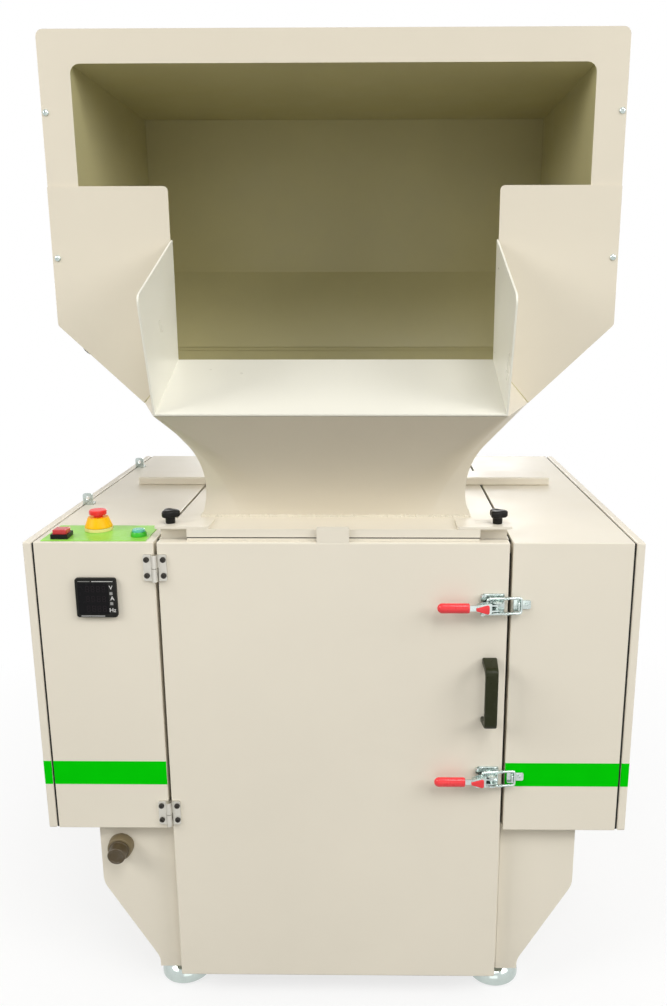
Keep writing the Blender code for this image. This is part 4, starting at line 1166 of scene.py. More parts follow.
@dataclass
class Cabinets:
    """The cabinets' green stripes, the dark seals in their seams, which are partly painted shade deepening those seams,
    and the strips beside the door and in the bay.
    """

    inner: float = 0.311
    seam: Point = (0.5192, 0.5230)
    outer: float = 0.538
    bottom: float = 0.385
    top: float = 0.941
    depth: float = 0.830
    stripe: Point = (0.476, 0.523)
    film: float = 0.00016
    edges: Point = (0.0015, 0.0025)
    stop_x: float = 0.3066
    stop_y: float = 0.0268
    stop_size: Point = (0.005, 0.0076)
    bay_floor: float = 0.074
    rear_stop_y: float = 0.8178
    wing_rear: float = 0.805
    recess: float = 0.0075
    # Depth of the dark seam strips, which are partly seal and partly painted shade
    seam_seal: float = 0.009

    def wrap(self, near: float, far: float, edge: float) -> list[Point]:
        """Outline, seen from above, of a film laid over a front and round both of its edges.

        Args:
            near: The front's inner end, in X.
            far: Its outer end.
            edge: Radius of its rounded edges.

        Returns:
            The outline.
        """
        skins = []
        for reach in (edge + self.film, edge - 0.00002):
            ends = ((near + edge, 202.5), (far - edge, 270.0))
            turns = [(x, math.radians(start + 22.5 * step)) for x, start in ends for step in range(4)]
            skins.append([(x + reach * math.cos(turn), edge + reach * math.sin(turn)) for x, turn in turns])
        return [*skins[0], *reversed(skins[1])]

    def build(self, bench: Bench) -> None:
        """Builds the stripes and the seals; the dark seals are partly painted shade in the gaps."""
        stripes = Shape()
        spans = ((self.inner, self.seam[0], self.edges[0]), (self.seam[1], self.outer, self.edges[1]))
        for sign in (-1, 1):
            for span in spans:
                stripes.prism([(sign * x, y) for x, y in self.wrap(*span)], Plane.DECK, *self.stripe)
        bench.piece("green_stripes", stripes.mesh(), Finish.STRIPE, Body.MACHINE)
        middle = sum(self.seam) / 2
        width = self.seam[1] - self.seam[0] - 0.0004
        fronts, tops, frames, stops, corners = [], [], [], [], []
        for sign in (-1, 1):
            x, stop = sign * middle, (sign * self.stop_x, self.stop_y)
            corner = (sign * self.stop_x, self.rear_stop_y)
            corners.append([(*corner, self.bay_floor + 0.0005), (*corner, self.bottom + 0.004)])
            fronts.append([(x, self.recess, self.bottom + 0.001), (x, self.recess, self.top - 0.003)])
            tops.append([(x, 0.003, self.top - self.recess), (x, self.depth - 0.003, self.top - self.recess)])
            frames.append([(*stop, self.bottom), (*stop, 0.915)])
            stops.append([(*stop, self.bay_floor), (*stop, self.bottom - 0.0005)])
        # Dark foam strips in the cabinet seams and beside the door: partly seal, partly painted shade that deepens the
        # gaps
        bench.seal("seam_seals_front", fronts, self.seam_seal, width, FORWARD, waver=0.0016)
        bench.seal("seam_seals_top", tops, self.seam_seal, width, UPWARD, waver=0.0016)
        bench.seal("door_seals", frames, *self.stop_size, FORWARD, waver=0.0008)
        bench.seal("door_stops", stops, *self.stop_size, FORWARD, finish=Finish.IVORY)
        reach = self.rear_stop_y - self.wing_rear + 0.005
        bench.seal("bay_corner_strips", corners, reach, self.stop_size[1], FORWARD, finish=Finish.IVORY)


@dataclass
class Deck:
    """The deck's seals, the dark ones partly painted shade in their gaps, and the two star knobs."""

    top: float = 0.941
    knob_x: float = 0.287
    knob_y: float = 0.036
    knob_z: float = 0.962 + 0.004 + 2 * SEAT
    knob_radius: float = 0.0175
    knob_lobe: float = 0.16
    knob_head: Point = (0.011, 0.024)
    stem: float = 0.0085
    flange_end: Point = (0.2535, 0.0125)
    gap: tuple[float, float, float] = (0.3085, 0.032, 0.812)

    def lobes(self, turn: float) -> float:
        """Reach of the knob's three lobes at an angle."""
        return 1 - self.knob_lobe + self.knob_lobe * math.cos(3 * turn)

    def knob(self, place: Place) -> Mesh:
        """A star knob with softened lobes, a collar and a cap.

        Args:
            place: Where the stem stands.

        Returns:
            The mesh in place.
        """
        low, high = self.knob_head
        radius, stem = self.knob_radius, self.stem
        profile = [
            (0.0, high - 0.0004),
            (radius * 0.30, high - 0.0004),
            (radius * 0.34, high),
            (radius * 0.72, high - 0.0002),
            (radius * 0.90, high - 0.0012),
            (radius * 0.98, high - 0.0028),
            (radius, high - 0.0048),
            (radius, low + 0.0040),
            (radius * 0.97, low + 0.0022),
            (radius * 0.88, low + 0.0008),
            (radius * 0.70, low + 0.0001),
            (0.0, low + 0.0001),
        ]
        waves = {row: self.lobes for row in range(3, 11)}
        neck = rounded([(0.0, low + 0.002), (stem, low + 0.002), (stem, 0.0), (0.0, 0.0)], [0.0, 0.0, 0.0008, 0.0], 4)
        return Shape().lathe(profile, upright(place), 96, waves).lathe(neck, upright(place), 40).mesh()

    def build(self, bench: Bench) -> None:
        """Builds the knobs and the seals, the dark ones partly painted shade."""
        for side, sign, body in (("left", -1, Body.KNOB_LEFT), ("right", 1, Body.KNOB_RIGHT)):
            mesh = self.knob((sign * self.knob_x, self.knob_y, self.knob_z))
            bench.piece(f"hand_knob_{side}", mesh, Finish.BLACK, body, [f"star_knob_{side}"], 40.0)
        end, y = self.flange_end
        seal, rest = ([[(-end, y, z), (end, y, z)]] for z in (0.9468, 0.9435))
        # Dark strip under the flange's front: partly seal, partly painted shadow of the gap
        bench.seal("flange_seal", seal, 0.0016, 0.005, UPWARD, waver=0.0002)
        bench.seal("flange_rest", rest, 0.0045, 0.005, UPWARD, finish=Finish.IVORY)
        x, *ends = self.gap
        gaps = [[(sign * x, y, self.top - 0.0075) for y in ends] for sign in (-1, 1)]
        # Dark strips in the gaps between the top plate and the cabinets: partly seal, partly painted shade
        bench.seal("deck_gap_seals", gaps, 0.006, 0.0042, UPWARD, waver=0.0010)


@dataclass
class Door:
    """The door's handle and the screws of its two hinges."""

    handle_x: float = 0.276
    handle_z: Point = (0.605, 0.731)
    reach: float = 0.045
    width: Point = (0.022, 0.027)
    bar: float = 0.012
    hinge_x: float = -0.309
    hinge_z: Point = (0.896, 0.419)
    screw_step: Point = (0.0145, 0.0144)
    screw: Point = (0.0050, 0.0022)
    leaf: float = -0.0030

    def handle(self) -> Mesh:
        """The bridge handle: a tapered grip between two angled legs.

        Returns:
            The mesh in place.
        """
        low, high = self.handle_z
        out, bar, depth = -self.reach, self.bar, -SEAT
        bridge = [
            (depth, low),
            (out, low + 0.007),
            (out, high - 0.007),
            (depth, high),
            (depth, high - bar),
            (out + bar, high - bar - 0.006),
            (out + bar, low + bar + 0.006),
            (depth, low + bar),
        ]
        outline = rounded(bridge, [0.0, 0.013, 0.013, 0.0, 0.0, 0.008, 0.008, 0.0], 8)
        half = self.width[1] / 2
        mesh = Shape().prism(outline, Plane.SIDE, -half, half, 0.0032, 4).mesh()
        for vertex in mesh.vertices:
            waist = min(1.0, -vertex.co.y / self.reach)
            vertex.co.x = self.handle_x + vertex.co.x * (1 + waist * (self.width[0] / self.width[1] - 1))
        return mesh

    def build(self, bench: Bench) -> None:
        """Builds the handle and the hinge screws."""
        bench.piece("bridge_handle", self.handle(), Finish.OLIVE_BLACK, Body.DOOR, ["door_handle"])
        across, up = self.screw_step
        for side, sign, body in (("frame", -1, Body.MACHINE), ("leaf", 1, Body.DOOR)):
            points = [
                ((self.hinge_x + sign * across, self.leaf, z + row * up), FORWARD)
                for z in self.hinge_z
                for row in (-1, 1)
            ]
            bench.set_heads(f"hinge_screws_{side}", socket_screw(*self.screw), points, Finish.DARK_STEEL, body)


@dataclass
class ToggleLatch:
    """A toggle latch's grip, trigger cover, threaded bail and fixings."""

    name: str
    z: float
    lever: Body
    bail: Body
    pivot: Point = (0.284, -0.016)
    bail_pivot: Point = (0.268, -0.013)
    bar_at: Point = (0.3275, -0.008)
    rod: float = 0.00225
    tip: float = 0.004
    half: float = 0.014
    bend: float = 0.004
    grip_x: Point = (0.180, 0.236)
    grip_half: Point = (0.007, 0.009)
    grip_y: float = -0.022
    trigger_x: Point = (0.2472, 0.2702)
    trigger_half: Point = (0.0025, 0.0093)
    trigger_drop: float = 0.0018
    plate: float = -0.0028
    base_x: Point = (0.2565, 0.2985)
    base_half: float = 0.0199
    ear_z: float = 0.009
    ear_front: float = -0.024
    sheet: float = 0.0025
    pin: float = 0.0025
    claws: tuple[Point, Point] = ((0.0140, 0.0196), (-0.0196, -0.0160))
    catch_x: tuple[float, float, float] = (0.3142, 0.3290, 0.3448)
    catch_half: Point = (0.0126, 0.0080)
    tongue_x: Point = (0.321, 0.324)
    tongue: Point = (-0.014, 0.008)
    threads: Point = (0.2905, 0.3195)
    nuts: Point = (0.2985, 0.3035)
    base_screws_at: tuple[float, float, float] = (0.2680, 0.2930, 0.0172)
    catch_screw_x: float = 0.3375
    rivet_z: float = 0.01025

    def stamped(self, side: list[Point], radii: list[float]) -> Shape:
        """A flat plate that is the same above and below the latch's middle.

        Args:
            side: Corners of its upper half.
            radii: Radius of each of them.

        Returns:
            The plate.
        """
        corners = side + [(x, -up) for x, up in reversed(side)]
        outline = rounded(moved(corners, 0.0, self.z), radii + radii[::-1], 4)
        return Shape().prism(outline, Plane.FRONT, self.plate, -SEAT, 0.0004, 2)

    def base(self) -> Mesh:
        """The stamped base: a notched plate with two ears, two claws and the pivot pin.

        Returns:
            The mesh in place.
        """
        (left, right), half, z = self.base_x, self.base_half, self.z
        side = [(left + 0.006, 0.004), (left, 0.006), (left, 0.013), (left + 0.0045, half), (right, half)]
        shape = self.stamped(side, [0.002, 0.001, 0.002, 0.003, 0.003])
        ear = [(0.276, -0.0015), (0.276, self.ear_front), (0.292, self.ear_front), (right, -0.0015)]
        ear = rounded(ear, [0.0, 0.0079, 0.0079, 0.0], 6)
        for sign in (-1, 1):
            middle = z + sign * self.ear_z
            shape.prism(ear, Plane.DECK, middle - self.sheet / 2, middle + self.sheet / 2, 0.0004, 2)
        curl = [(0.0005, -0.002), (0.0005, -0.008), (0.0025, -0.0092), (0.0065, -0.0086), (0.0065, -0.0073)]
        curl = moved([*curl, (0.0033, -0.0078), (0.0018, -0.007), (0.0018, -0.002)], left, 0.0)
        for low, high in self.claws:
            shape.prism(curl, Plane.DECK, z + low, z + high, 0.0003, 2)
        reach = self.ear_z + 0.0016
        profile = [(0.0, reach), (self.pin, reach), (self.pin, -reach), (0.0, -reach)]
        return shape.lathe(profile, aimed((*self.pivot, z), UPWARD), 24).mesh()

    def catch(self) -> Mesh:
        """The catch: a stepped plate with the tongue that holds the bail.

        Returns:
            The mesh in place.
        """
        (near, step, far), (wide, narrow), z = self.catch_x, self.catch_half, self.z
        side = [(near, wide), (step - 0.0010, wide), (step + 0.0010, narrow), (far, narrow)]
        shape = self.stamped(side, [0.003, 0.002, 0.001, 0.003])
        rise, half = self.tongue
        tongue = [(rise, z - half), (-0.0015, z - half), (-0.0015, z + half), (rise, z + half)]
        return shape.prism(rounded(tongue, [0.003, 0.0, 0.0, 0.003], 5), Plane.SIDE, *self.tongue_x, 0.0005, 2).mesh()

    def bail_path(self) -> list[Vector]:
        """Centre line of the bail, from one turned-in tip to the other."""
        start, end = Vector((*self.bail_pivot, self.z)), Vector((*self.bar_at, self.z))
        up = Vector(UPWARD)
        corners = [start - up * self.tip, start - up * self.half, end - up * self.half]
        corners += [end + up * self.half, start + up * self.half, start + up * self.tip]
        points = [corners[0]]
        for before, here, after in zip(corners, corners[1:], corners[2:]):
            into, out = (before - here).normalized(), (after - here).normalized()
            centre = here + (into + out) * self.bend
            for step in range(9):
                turn = math.radians(90) * step / 8
                points.append(centre - out * self.bend * math.cos(turn) - into * self.bend * math.sin(turn))
        return [*points, corners[-1]]

    def leg(self, sign: int, near: float, far: float) -> list[Vector]:
        """A stretch of one of the bail's legs.

        Args:
            sign: Which leg, -1 or 1.
            near: Where the stretch starts, in X.
            far: Where it ends, in X.

        Returns:
            Its two ends.
        """
        (x0, y0), (x1, y1) = self.bail_pivot, self.bar_at
        return [Vector((x, y0 + (y1 - y0) * (x - x0) / (x1 - x0), self.z + sign * self.half)) for x in (near, far)]

    def build(self, bench: Bench) -> None:
        """Builds the latch's pieces."""
        low, high = self.grip_x
        thick, tall = self.grip_half
        rows = ((0.0, 0.0, 1.0, 0.0), (thick, 0.0, 0.0, 0.0), (0.0, tall, 0.0, 0.0), (0.0, 0.0, 0.0, 1.0))
        sleeve = Matrix.Translation((0.0, self.grip_y, self.z)) @ Matrix(rows)
        nose = [(math.sin(t), low + 0.009 * (1 - math.cos(t))) for t in (math.radians(9 * step) for step in range(11))]
        profile = [*nose, (0.985, low + 0.030), (1.0, high - 0.004), (0.96, high - 0.0012), (0.80, high), (0.0, high)]
        grip = Shape().lathe(profile[::-1], sleeve, 40).mesh()
        bench.piece(f"{self.name}_red_grip", grip, Finish.RED_GRIP, self.lever, [f"{self.name}_grip"], 60.0)
        narrow, wide = self.trigger_half
        near, far = self.trigger_x
        fan = moved([(near, -narrow), (far, -wide), (far, wide), (near, narrow)], 0.0, self.z - self.trigger_drop)
        fan = rounded(fan, [0.0020, 0.0034, 0.0034, 0.0020], 6)
        cover = Shape().prism(fan, Plane.FRONT, -0.0262, -0.0226, 0.0012, 4)
        bench.piece(f"{self.name}_trigger_cover", cover.mesh(), Finish.RED_GRIP, self.lever)
        rods = [bench.rods.run(path_mesh(self.bail_path()), Finish.ZINC, radius=self.rod, sides=24)]
        profile = [(0.0, 0.0003), (0.0019, 0.0003), (0.00252, 0.0), (0.0019, -0.0003), (0.0, -0.0003)]
        thread = bench.item(Shape().lathe(profile, sides=16))
        half = [(0.0, 0.0016), (0.0030, 0.0016), (0.0034, 0.0012)]
        profile = half + [(radius, -height) for radius, height in reversed(half)]
        nut = bench.item(Shape().lathe(profile, sides=24, waves={row: hexed for row in range(1, 5)}))
        for sign in (-1, 1):
            for span, item, spacing in ((self.threads, thread, 0.0008), (self.nuts, nut, 0.005)):
                path = path_mesh(self.leg(sign, *span))
                rods.append(bench.along.run(path, Finish.ZINC, item=item, spacing=spacing, spread=0.0, seed=1))
        bench.drop(thread)
        bench.drop(nut)
        bench.piece(f"{self.name}_threaded_bail", merged(rods), Finish.ZINC, self.bail, [f"{self.name}_bail"], 40.0)
        bench.piece(f"{self.name}_base_plate", self.base(), Finish.ZINC, Body.DOOR, [f"{self.name}_latch_base"])
        bench.piece(f"{self.name}_catch_plate", self.catch(), Finish.ZINC, Body.MACHINE, [f"{self.name}_catch"])
        *places, up = self.base_screws_at
        base = [((x, self.plate, self.z + sign * up), FORWARD) for x in places for sign in (-1, 1)]
        bench.set_heads(f"{self.name}_base_screws", domed_screw(0.0025, 0.0018), base, Finish.ZINC, Body.DOOR)
        hook = [((self.catch_screw_x, self.plate, self.z), FORWARD)]
        bench.set_heads(f"{self.name}_catch_screws", socket_screw(0.0034, 0.0016), hook, Finish.ZINC, Body.MACHINE)
        ends = [((*self.pivot, self.z + sign * self.rivet_z), (0.0, 0.0, float(sign))) for sign in (-1, 1)]
        bench.set_heads(f"{self.name}_pivot_rivets", domed_screw(0.0042, 0.0013), ends, Finish.ZINC, Body.DOOR)


@dataclass
class Controls:
    """The emergency stop, the two push buttons and the panel meter."""

    seat: float = 0.941 + 2 * SEAT + 0.0012
    stop_at: Point = (-0.428, 0.078)
    red_at: Point = (-0.478, 0.028)
    green_at: Point = (-0.345, 0.038)
    collar: float = 0.024
    stroke: float = 0.004
    meter_at: Point = (-0.414, 0.842)
    meter_half: float = 0.036
    meter_depth: float = 0.008

    def stop(self, bench: Bench) -> None:
        """Builds the emergency stop: pale ring, yellow cone and red mushroom head."""
        place = upright((*self.stop_at, self.seat))
        ring = [(0.0236, 0.0058), (0.0246, 0.0055), (0.0250, 0.0048), (0.0250, 0.0), (0.0100, 0.0), (0.0100, 0.0058)]
        bench.piece("stop_ring", Shape().lathe(ring, place, 64).mesh(), Finish.PALE_RING, Body.MACHINE)
        bore = 0.0084
        cone = [(0.0180, 0.0240), (0.0185, 0.0235), (0.0232, 0.0102), (0.0244, 0.0078), (0.0244, 0.0064)]
        cone += [(0.0236, 0.0060), (bore, 0.0060), (bore, 0.0240)]
        mesh = Shape().lathe(cone, place, 64).mesh()
        bench.piece("stop_cone", mesh, Finish.YELLOW, Body.MACHINE, ["estop_collar"])
        cap = self.collar + self.stroke + 0.001
        corners = [(0.0, cap + 0.0080), (0.0143, cap + 0.0080), (0.0155, cap + 0.0066), (0.0155, cap), (0.0080, cap)]
        corners += [(0.0080, self.stroke + 0.0015), (0.0, self.stroke + 0.0015)]
        profile = rounded(corners, [0.0, 0.0010, 0.0010, 0.0008, 0.0, 0.0, 0.0], 5)
        mesh = Shape().lathe(profile, place, 64).mesh()
        bench.piece("stop_head", mesh, Finish.STOP_RED, Body.STOP, ["estop_button"])

    def buttons(self, bench: Bench) -> None:
        """Builds the square red button, the round green one and the marks beside them."""
        x, y = self.red_at
        outline = rounded(moved(square(0.0120), x, y), 0.0015, 4)
        cap = Shape().prism(outline, Plane.DECK, self.seat + 0.0065, self.seat + 0.0155, 0.0012, 4)
        bench.piece("red_cap", cap.mesh(), Finish.BUTTON_RED, Body.RED, ["red_button"])
        place = upright((*self.green_at, self.seat))
        ring = [(0.0118, 0.0080), (0.0123, 0.0080), (0.0130, 0.0072), (0.0140, 0.0052), (0.0140, 0.0)]
        ring += [(0.0005, 0.0), (0.0005, 0.0030), (0.0115, 0.0030)]
        mesh = Shape().lathe(ring, place, 56).mesh()
        bench.piece("green_ring", mesh, Finish.RING_GREEN, Body.MACHINE, ["green_bezel"])
        top = [(0.0, 0.0120), (0.0078, 0.0121), (0.0096, 0.0120), (0.0106, 0.0114), (0.0110, 0.0104)]
        top += [(0.0110, 0.0066), (0.0, 0.0066)]
        mesh = Shape().lathe(top, place, 56).mesh()
        bench.piece("teal_cap", mesh, Finish.TEAL, Body.GREEN, ["green_button"])
        deck = self.seat - SEAT + 0.00005
        words = [
            lettering("OFF", 0.0075, (x, y + 0.0215, deck), Plane.DECK),
            lettering("ON", 0.0075, (self.green_at[0], self.green_at[1] + 0.0205, deck), Plane.DECK),
        ]
        bench.piece("button_marks", merged(words), Finish.GREY_MARK, Body.MACHINE)

    def spot(self, across: float, down: float, out: float = 0.0) -> Place:
        """A place on the meter's face, from its left and top edges."""
        x, z = self.meter_at
        return (x - self.meter_half + across, -self.meter_depth - out, z + self.meter_half - down)

    def bar(self, shape: Shape, left: float, right: float, top: float, bottom: float) -> None:
        """Adds a flat printed bar on the meter's face."""
        a, b = self.spot(left, bottom), self.spot(right, top)
        corners = [(a[0], a[2]), (b[0], a[2]), (b[0], b[2]), (a[0], b[2])]
        shape.prism(corners, Plane.FRONT, a[1] - 0.00012, a[1] + 0.00002)

    def digit(self) -> Shape:
        """The seven segments of one unlit digit, its lower left corner at the origin."""
        shape = Shape()
        wide, tall, bar = 0.0062, 0.0108, 0.0011
        middle = tall / 2
        spans = [(0.0, 0.0, wide, bar), (0.0, tall - bar, wide, tall), (0.0, middle - bar / 2, wide, middle + bar / 2)]
        for x in (0.0, wide - bar):
            spans.append((x, bar * 1.3, x + bar, middle - bar * 0.8))
            spans.append((x, middle + bar * 0.8, x + bar, tall - bar * 1.3))
        for left, low, right, high in spans:
            inset = 0.0004 if high - low < right - left else 0.0
            corners = [(left + inset, low), (right - inset, low), (right - inset, high), (left + inset, high)]
            shape.prism(corners, Plane.FRONT, -0.00010, 0.0)
        return shape

    def meter(self, bench: Bench) -> None:
        """Builds the meter: rounded case, dark window, unlit digits, lines and letters."""
        x, z = self.meter_at
        case = rounded(moved(square(self.meter_half), x, z), 0.005, 8)
        shape = Shape().prism(case, Plane.FRONT, -self.meter_depth + 0.0002, -SEAT, 0.0012, 3)
        bench.piece("meter_case", shape.mesh(), Finish.BLACK, Body.MACHINE, ["panel_meter"])
        left, top = self.spot(4.5e-3, 8.5e-3)[::2]
        right, bottom = self.spot(58.5e-3, 66e-3)[::2]
        pane = rounded([(left, bottom), (right, bottom), (right, top), (left, top)], 0.0015, 4)
        shape = Shape().prism(pane, Plane.FRONT, -self.meter_depth + 0.00005, -self.meter_depth + 0.0015, 0.0002, 1)
        bench.piece("meter_window_pane", shape.mesh(), Finish.WINDOW, Body.MACHINE)
        digit = bench.item(self.digit())
        rows = []
        for down in (0.0250, 0.0430, 0.0610):
            host, start = path_mesh([(0, 0, 0)]), self.spot(0.0185, down, -0.00006)
            rows.append(bench.rows.run(host, Finish.GHOST, item=digit, count=4, start=start, step=(0.0095, 0.0, 0.0)))
        bench.drop(digit)
        bench.piece("meter_digits", merged(rows), Finish.GHOST, Body.MACHINE)
        units = (("V", 0.0630, 0.0170), ("A", 0.0645, 0.0367), ("Hz", 0.0640, 0.0584))
        marks = [lettering(unit, 0.0105, self.spot(across, down), Plane.FRONT) for unit, across, down in units]
        lines = Shape()
        self.bar(lines, 0.030, 0.067, 0.0052, 0.0061)
        self.bar(lines, 0.008, 0.050, 0.0686, 0.0695)
        marks.append(lines.mesh())
        bench.piece("meter_marks", merged(marks), Finish.MARK, Body.MACHINE)
        lamps = Shape()
        for down in (0.0275, 0.0460):
            self.bar(lamps, 0.0603, 0.0655, down - 0.0026, down + 0.0026)
        self.bar(lamps, 0.006, 0.027, 0.0052, 0.0061)
        bench.piece("meter_lamps", lamps.mesh(), Finish.GREY_MARK, Body.MACHINE)

    def build(self, bench: Bench) -> None:
        """Builds the control group."""
        self.stop(bench)
        self.buttons(bench)
        self.meter(bench)


@dataclass
class PortCap:
    """The capped port on the left base wing, with its grooved screw cap."""

    x: float = -0.412
    front: float = 0.025 - SEAT
    z: float = 0.333
    length: float = 0.039
    flutes: int = 48

    def ribs(self, turn: float) -> float:
        """Reach of the cap's fine ribs at an angle."""
        return 1 - 0.014 * (0.5 + 0.5 * math.cos(self.flutes * turn))

    def build(self, bench: Bench) -> None:
        """Builds the cap and the disc behind it."""
        place = aimed((self.x, self.front, self.z), FORWARD)
        corners = [(0.0, 0.0172), (0.0225, 0.0172), (0.0240, 0.0060), (0.0240, 0.0), (0.0, 0.0)]
        disc = rounded(corners, [0.0, 0.0012, 0.0008, 0.0, 0.0], 4)
        mesh = Shape().lathe(disc, place, 64).mesh()
        bench.piece("port_disc", mesh, Finish.DULL_BACK, Body.MACHINE)
        long = self.length
        cap = [(0.0, long - 0.0006), (0.0118, long - 0.0006), (0.0124, long), (0.0152, long - 0.0002)]
        cap += [(0.0165, long - 0.0014), (0.0168, long * 0.86), (0.0170, long * 0.55), (0.0174, long * 0.52)]
        cap += [(0.0190, long * 0.50), (0.0190, 0.0120), (0.0, 0.0120)]
        mesh = Shape().lathe(cap, place, 192, {5: self.ribs, 6: self.ribs}).mesh()
        bench.piece("port_screw_cap", mesh, Finish.FADED_BLACK, Body.MACHINE, ["port_cap"])


@dataclass
class Feet:
    """The four bell-shaped levelling feet on their rubber soles."""

    x: float = 0.315
    rows: Point = (0.091, 0.739)
    radius: float = 0.050
    rubber: float = 0.010
    rim: float = 0.0035
    dome: float = 0.038
    stem: float = 0.011
    top: float = 0.060 - SEAT

    def build(self, bench: Bench) -> None:
        """Builds the chrome bells and the rubber soles."""
        radius, rim, shoulder = self.radius, self.rim, self.stem + 0.006
        profile = [(0.0, self.top), (self.stem, self.top), (self.stem, self.dome + 0.004)]
        profile.append((shoulder, self.dome + 0.0004))
        for step in range(1, 15):
            turn = math.radians(6 * step)
            reach = shoulder + (radius - 0.0006 - shoulder) * math.sin(turn)
            profile.append((reach, self.rubber + (self.dome - self.rubber) * math.cos(turn)))
        profile += [(radius, self.rubber - 0.0014), (radius, rim + 0.0008), (radius - 0.0010, rim)]
        profile += [(radius - 0.0030, rim), (radius - 0.0034, self.rubber - 0.001), (0.0, self.rubber - 0.001)]
        points = [((sign * self.x, y, 0.0), UPWARD) for sign in (-1, 1) for y in self.rows]
        nodes = [f"foot_{row}_{side}" for row in ("front", "rear") for side in ("left", "right")]
        bell = Shape().lathe(profile, sides=72)
        bench.set_heads("foot_bells", bell, points, Finish.CHROME, Body.MACHINE, nodes, spin=0.0)
        sole = rounded([(0.0, self.rubber), (0.046, self.rubber), (0.046, 0.0), (0.0, 0.0)], [0.0, 0.0, 0.0015, 0.0], 4)
        bench.set_heads("foot_soles", Shape().lathe(sole, sides=64), points, Finish.RUBBER, Body.MACHINE, spin=0.0)


# ---------------------------------------------------------------- studio


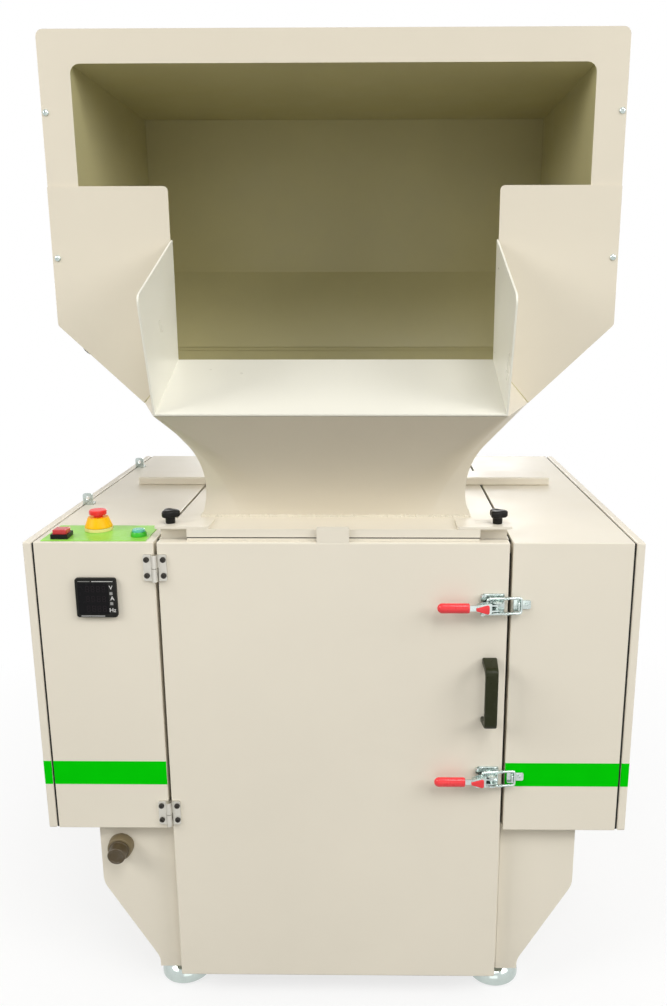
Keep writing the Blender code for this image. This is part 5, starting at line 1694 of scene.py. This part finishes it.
@dataclass
class Studio:
    """Pale floor, soft lamps, white surroundings and the photograph's camera."""

    front: float
    eye: Place = (0.0783, -1.4431, 1.3560)
    pitch: float = math.radians(13.31)
    yaw: float = math.radians(-0.67)
    roll: float = math.radians(-0.08)
    lens: float = 31.19
    shift: Point = (-0.0347, -0.0018)
    ambient: float = 0.38
    pale: Colour = (0.88, 0.88, 0.87)
    bounce: Colour = (0.31, 0.30, 0.27)

    def camera(self) -> None:
        """Makes the camera at the photograph's viewing angle."""
        level = math.cos(self.pitch)
        ahead = Vector((math.sin(self.yaw) * level, math.cos(self.yaw) * level, -math.sin(self.pitch)))
        right = Vector((math.cos(self.yaw), -math.sin(self.yaw), 0.0))
        up = right.cross(ahead)
        across = right * math.cos(self.roll) + up * math.sin(self.roll)
        upward = up * math.cos(self.roll) - right * math.sin(self.roll)
        data = bpy.data.cameras.new("camera")
        data.lens, data.sensor_width, data.sensor_fit = self.lens, 36.0, "AUTO"
        data.shift_x, data.shift_y = self.shift
        data.clip_start, data.clip_end = 0.05, 60.0
        camera = bpy.data.objects.new("camera", data)
        turned = Matrix((across, upward, -ahead)).transposed().to_4x4()
        camera.matrix_world = Matrix.Translation(self.place(self.eye)) @ turned
        bpy.context.scene.collection.objects.link(camera)
        bpy.context.scene.camera = camera

    def place(self, point: Place) -> Vector:
        """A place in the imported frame."""
        return Vector(point) + Vector((0.0, self.front, 0.0))

    def lamp(
        self, name: str, at: Place, target: Place, size: float, power: float, colour: Colour = (1.0, 1.0, 1.0)
    ) -> None:
        """Adds a square soft lamp.

        Args:
            name: The lamp's name.
            at: Its place.
            target: The place it points at.
            size: Its width.
            power: Its power in watts.
            colour: Its colour.
        """
        data = bpy.data.lights.new(name, "AREA")
        data.size, data.energy, data.color = size, power, colour
        lamp = bpy.data.objects.new(name, data)
        lamp.location = self.place(at)
        lamp.rotation_euler = (Vector(target) - Vector(at)).to_track_quat("-Z", "Y").to_euler()
        bpy.context.scene.collection.objects.link(lamp)

    def surroundings(self) -> None:
        """Makes the world: white where it is seen, softer where it lights."""
        world = bpy.data.worlds.new("surroundings")
        world.use_nodes = True
        bpy.context.scene.world = world
        tree = world.node_tree
        seen = add_node(tree, "ShaderNodeLightPath", None, {}).outputs
        rays = seen["Is Camera Ray"]
        for kind in ("Is Glossy Ray", "Is Transmission Ray"):
            both = {0: rays, 1: seen[kind]}
            rays = add_node(tree, "ShaderNodeMath", both, {"operation": "ADD", "use_clamp": True}).outputs[0]
        level = add_node(tree, "ShaderNodeMapRange", {"Value": rays, "To Min": self.ambient, "To Max": 1.0}, {})
        light = tree.nodes["Background"]
        light.inputs["Color"].default_value = (1.0, 1.0, 1.0, 1.0)
        tree.links.new(level.outputs["Result"], light.inputs["Strength"])

    def floor(self) -> None:
        """Makes the pale floor, which keeps the machine's shadow and fades to white further out."""
        graph = Graph("pale_floor")
        graph.fix({"Roughness": 0.9, "Specular IOR Level": 0.1})
        rays = graph.add("ShaderNodeLightPath").outputs
        both = {0: rays["Is Camera Ray"], 1: rays["Is Glossy Ray"]}
        seen = graph.add("ShaderNodeMath", both, operation="ADD", use_clamp=True).outputs[0]
        graph.wire(graph.mix(seen, scaled(self.bounce, 1.0), scaled(self.pale, 1.0)), "Base Color")
        place = graph.add("ShaderNodeTexCoord").outputs["Object"]
        away = graph.add("ShaderNodeVectorMath", {0: place}, operation="LENGTH").outputs["Value"]
        glow = graph.add("ShaderNodeEmission", {"Color": (1.0, 1.0, 1.0, 1.0), "Strength": 1.0})
        lift = graph.times(seen, graph.ramp(away, (0.75, 1.8), (0.74, 1.0)))
        mixed = graph.add("ShaderNodeMixShader", {0: lift, 1: graph.shader.outputs[0], 2: glow.outputs[0]})
        output = graph.tree.nodes["Material Output"]
        graph.tree.links.new(mixed.outputs[0], output.inputs["Surface"])
        mesh = Shape().lathe([(0.0, 0.0), (14.0, 0.0), (14.0, -0.02), (0.0, -0.02)], sides=96).mesh("floor")
        mesh.materials.append(graph.material)
        ground = bpy.data.objects.new("floor", mesh)
        bpy.context.scene.collection.objects.link(ground)

    def build(self) -> None:
        """Builds the studio."""
        self.camera()
        self.surroundings()
        self.floor()
        self.lamp("key", (2.5, -6.0, 9.5), (0.0, 0.0, 0.9), 4.0, 390.0, (1.0, 0.995, 0.985))
        self.lamp("side_left", (-3.4, -1.9, 3.0), (0.0, 0.1, 0.9), 2.0, 84.0, (1.0, 0.99, 0.975))
        self.lamp("side_right", (3.4, -1.9, 3.0), (0.0, 0.1, 0.9), 2.0, 84.0)
        self.lamp("low_front", (0.2, -2.4, 0.25), (0.0, 0.0, 0.25), 1.6, 5.5)
        self.lamp("behind", (0.0, 4.0, 2.2), (0.0, 0.4, 1.0), 2.0, 45.0)
        scene = bpy.context.scene
        scene.view_settings.view_transform = "Standard"


def main() -> None:
    """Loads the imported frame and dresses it, sub-assembly by sub-assembly."""
    logging.basicConfig(level=logging.INFO, format="%(name)s: %(message)s")
    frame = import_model()
    bench = Bench(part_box("cabinet_left")[0].y)
    Studio(bench.front).build()
    SheetMetal().dress(frame["nodes"])
    assemblies = [
        Hopper(),
        Cabinets(),
        Deck(),
        Door(),
        ToggleLatch("upper", 0.830, Body.UPPER_LEVER, Body.UPPER_BAIL),
        ToggleLatch("lower", 0.497, Body.LOWER_LEVER, Body.LOWER_BAIL),
        Controls(),
        PortCap(),
        Feet(),
    ]
    for assembly in assemblies:
        assembly.build(bench)
    log.info("%d pieces made", bench.count)


if __name__ == "__main__":
    main()
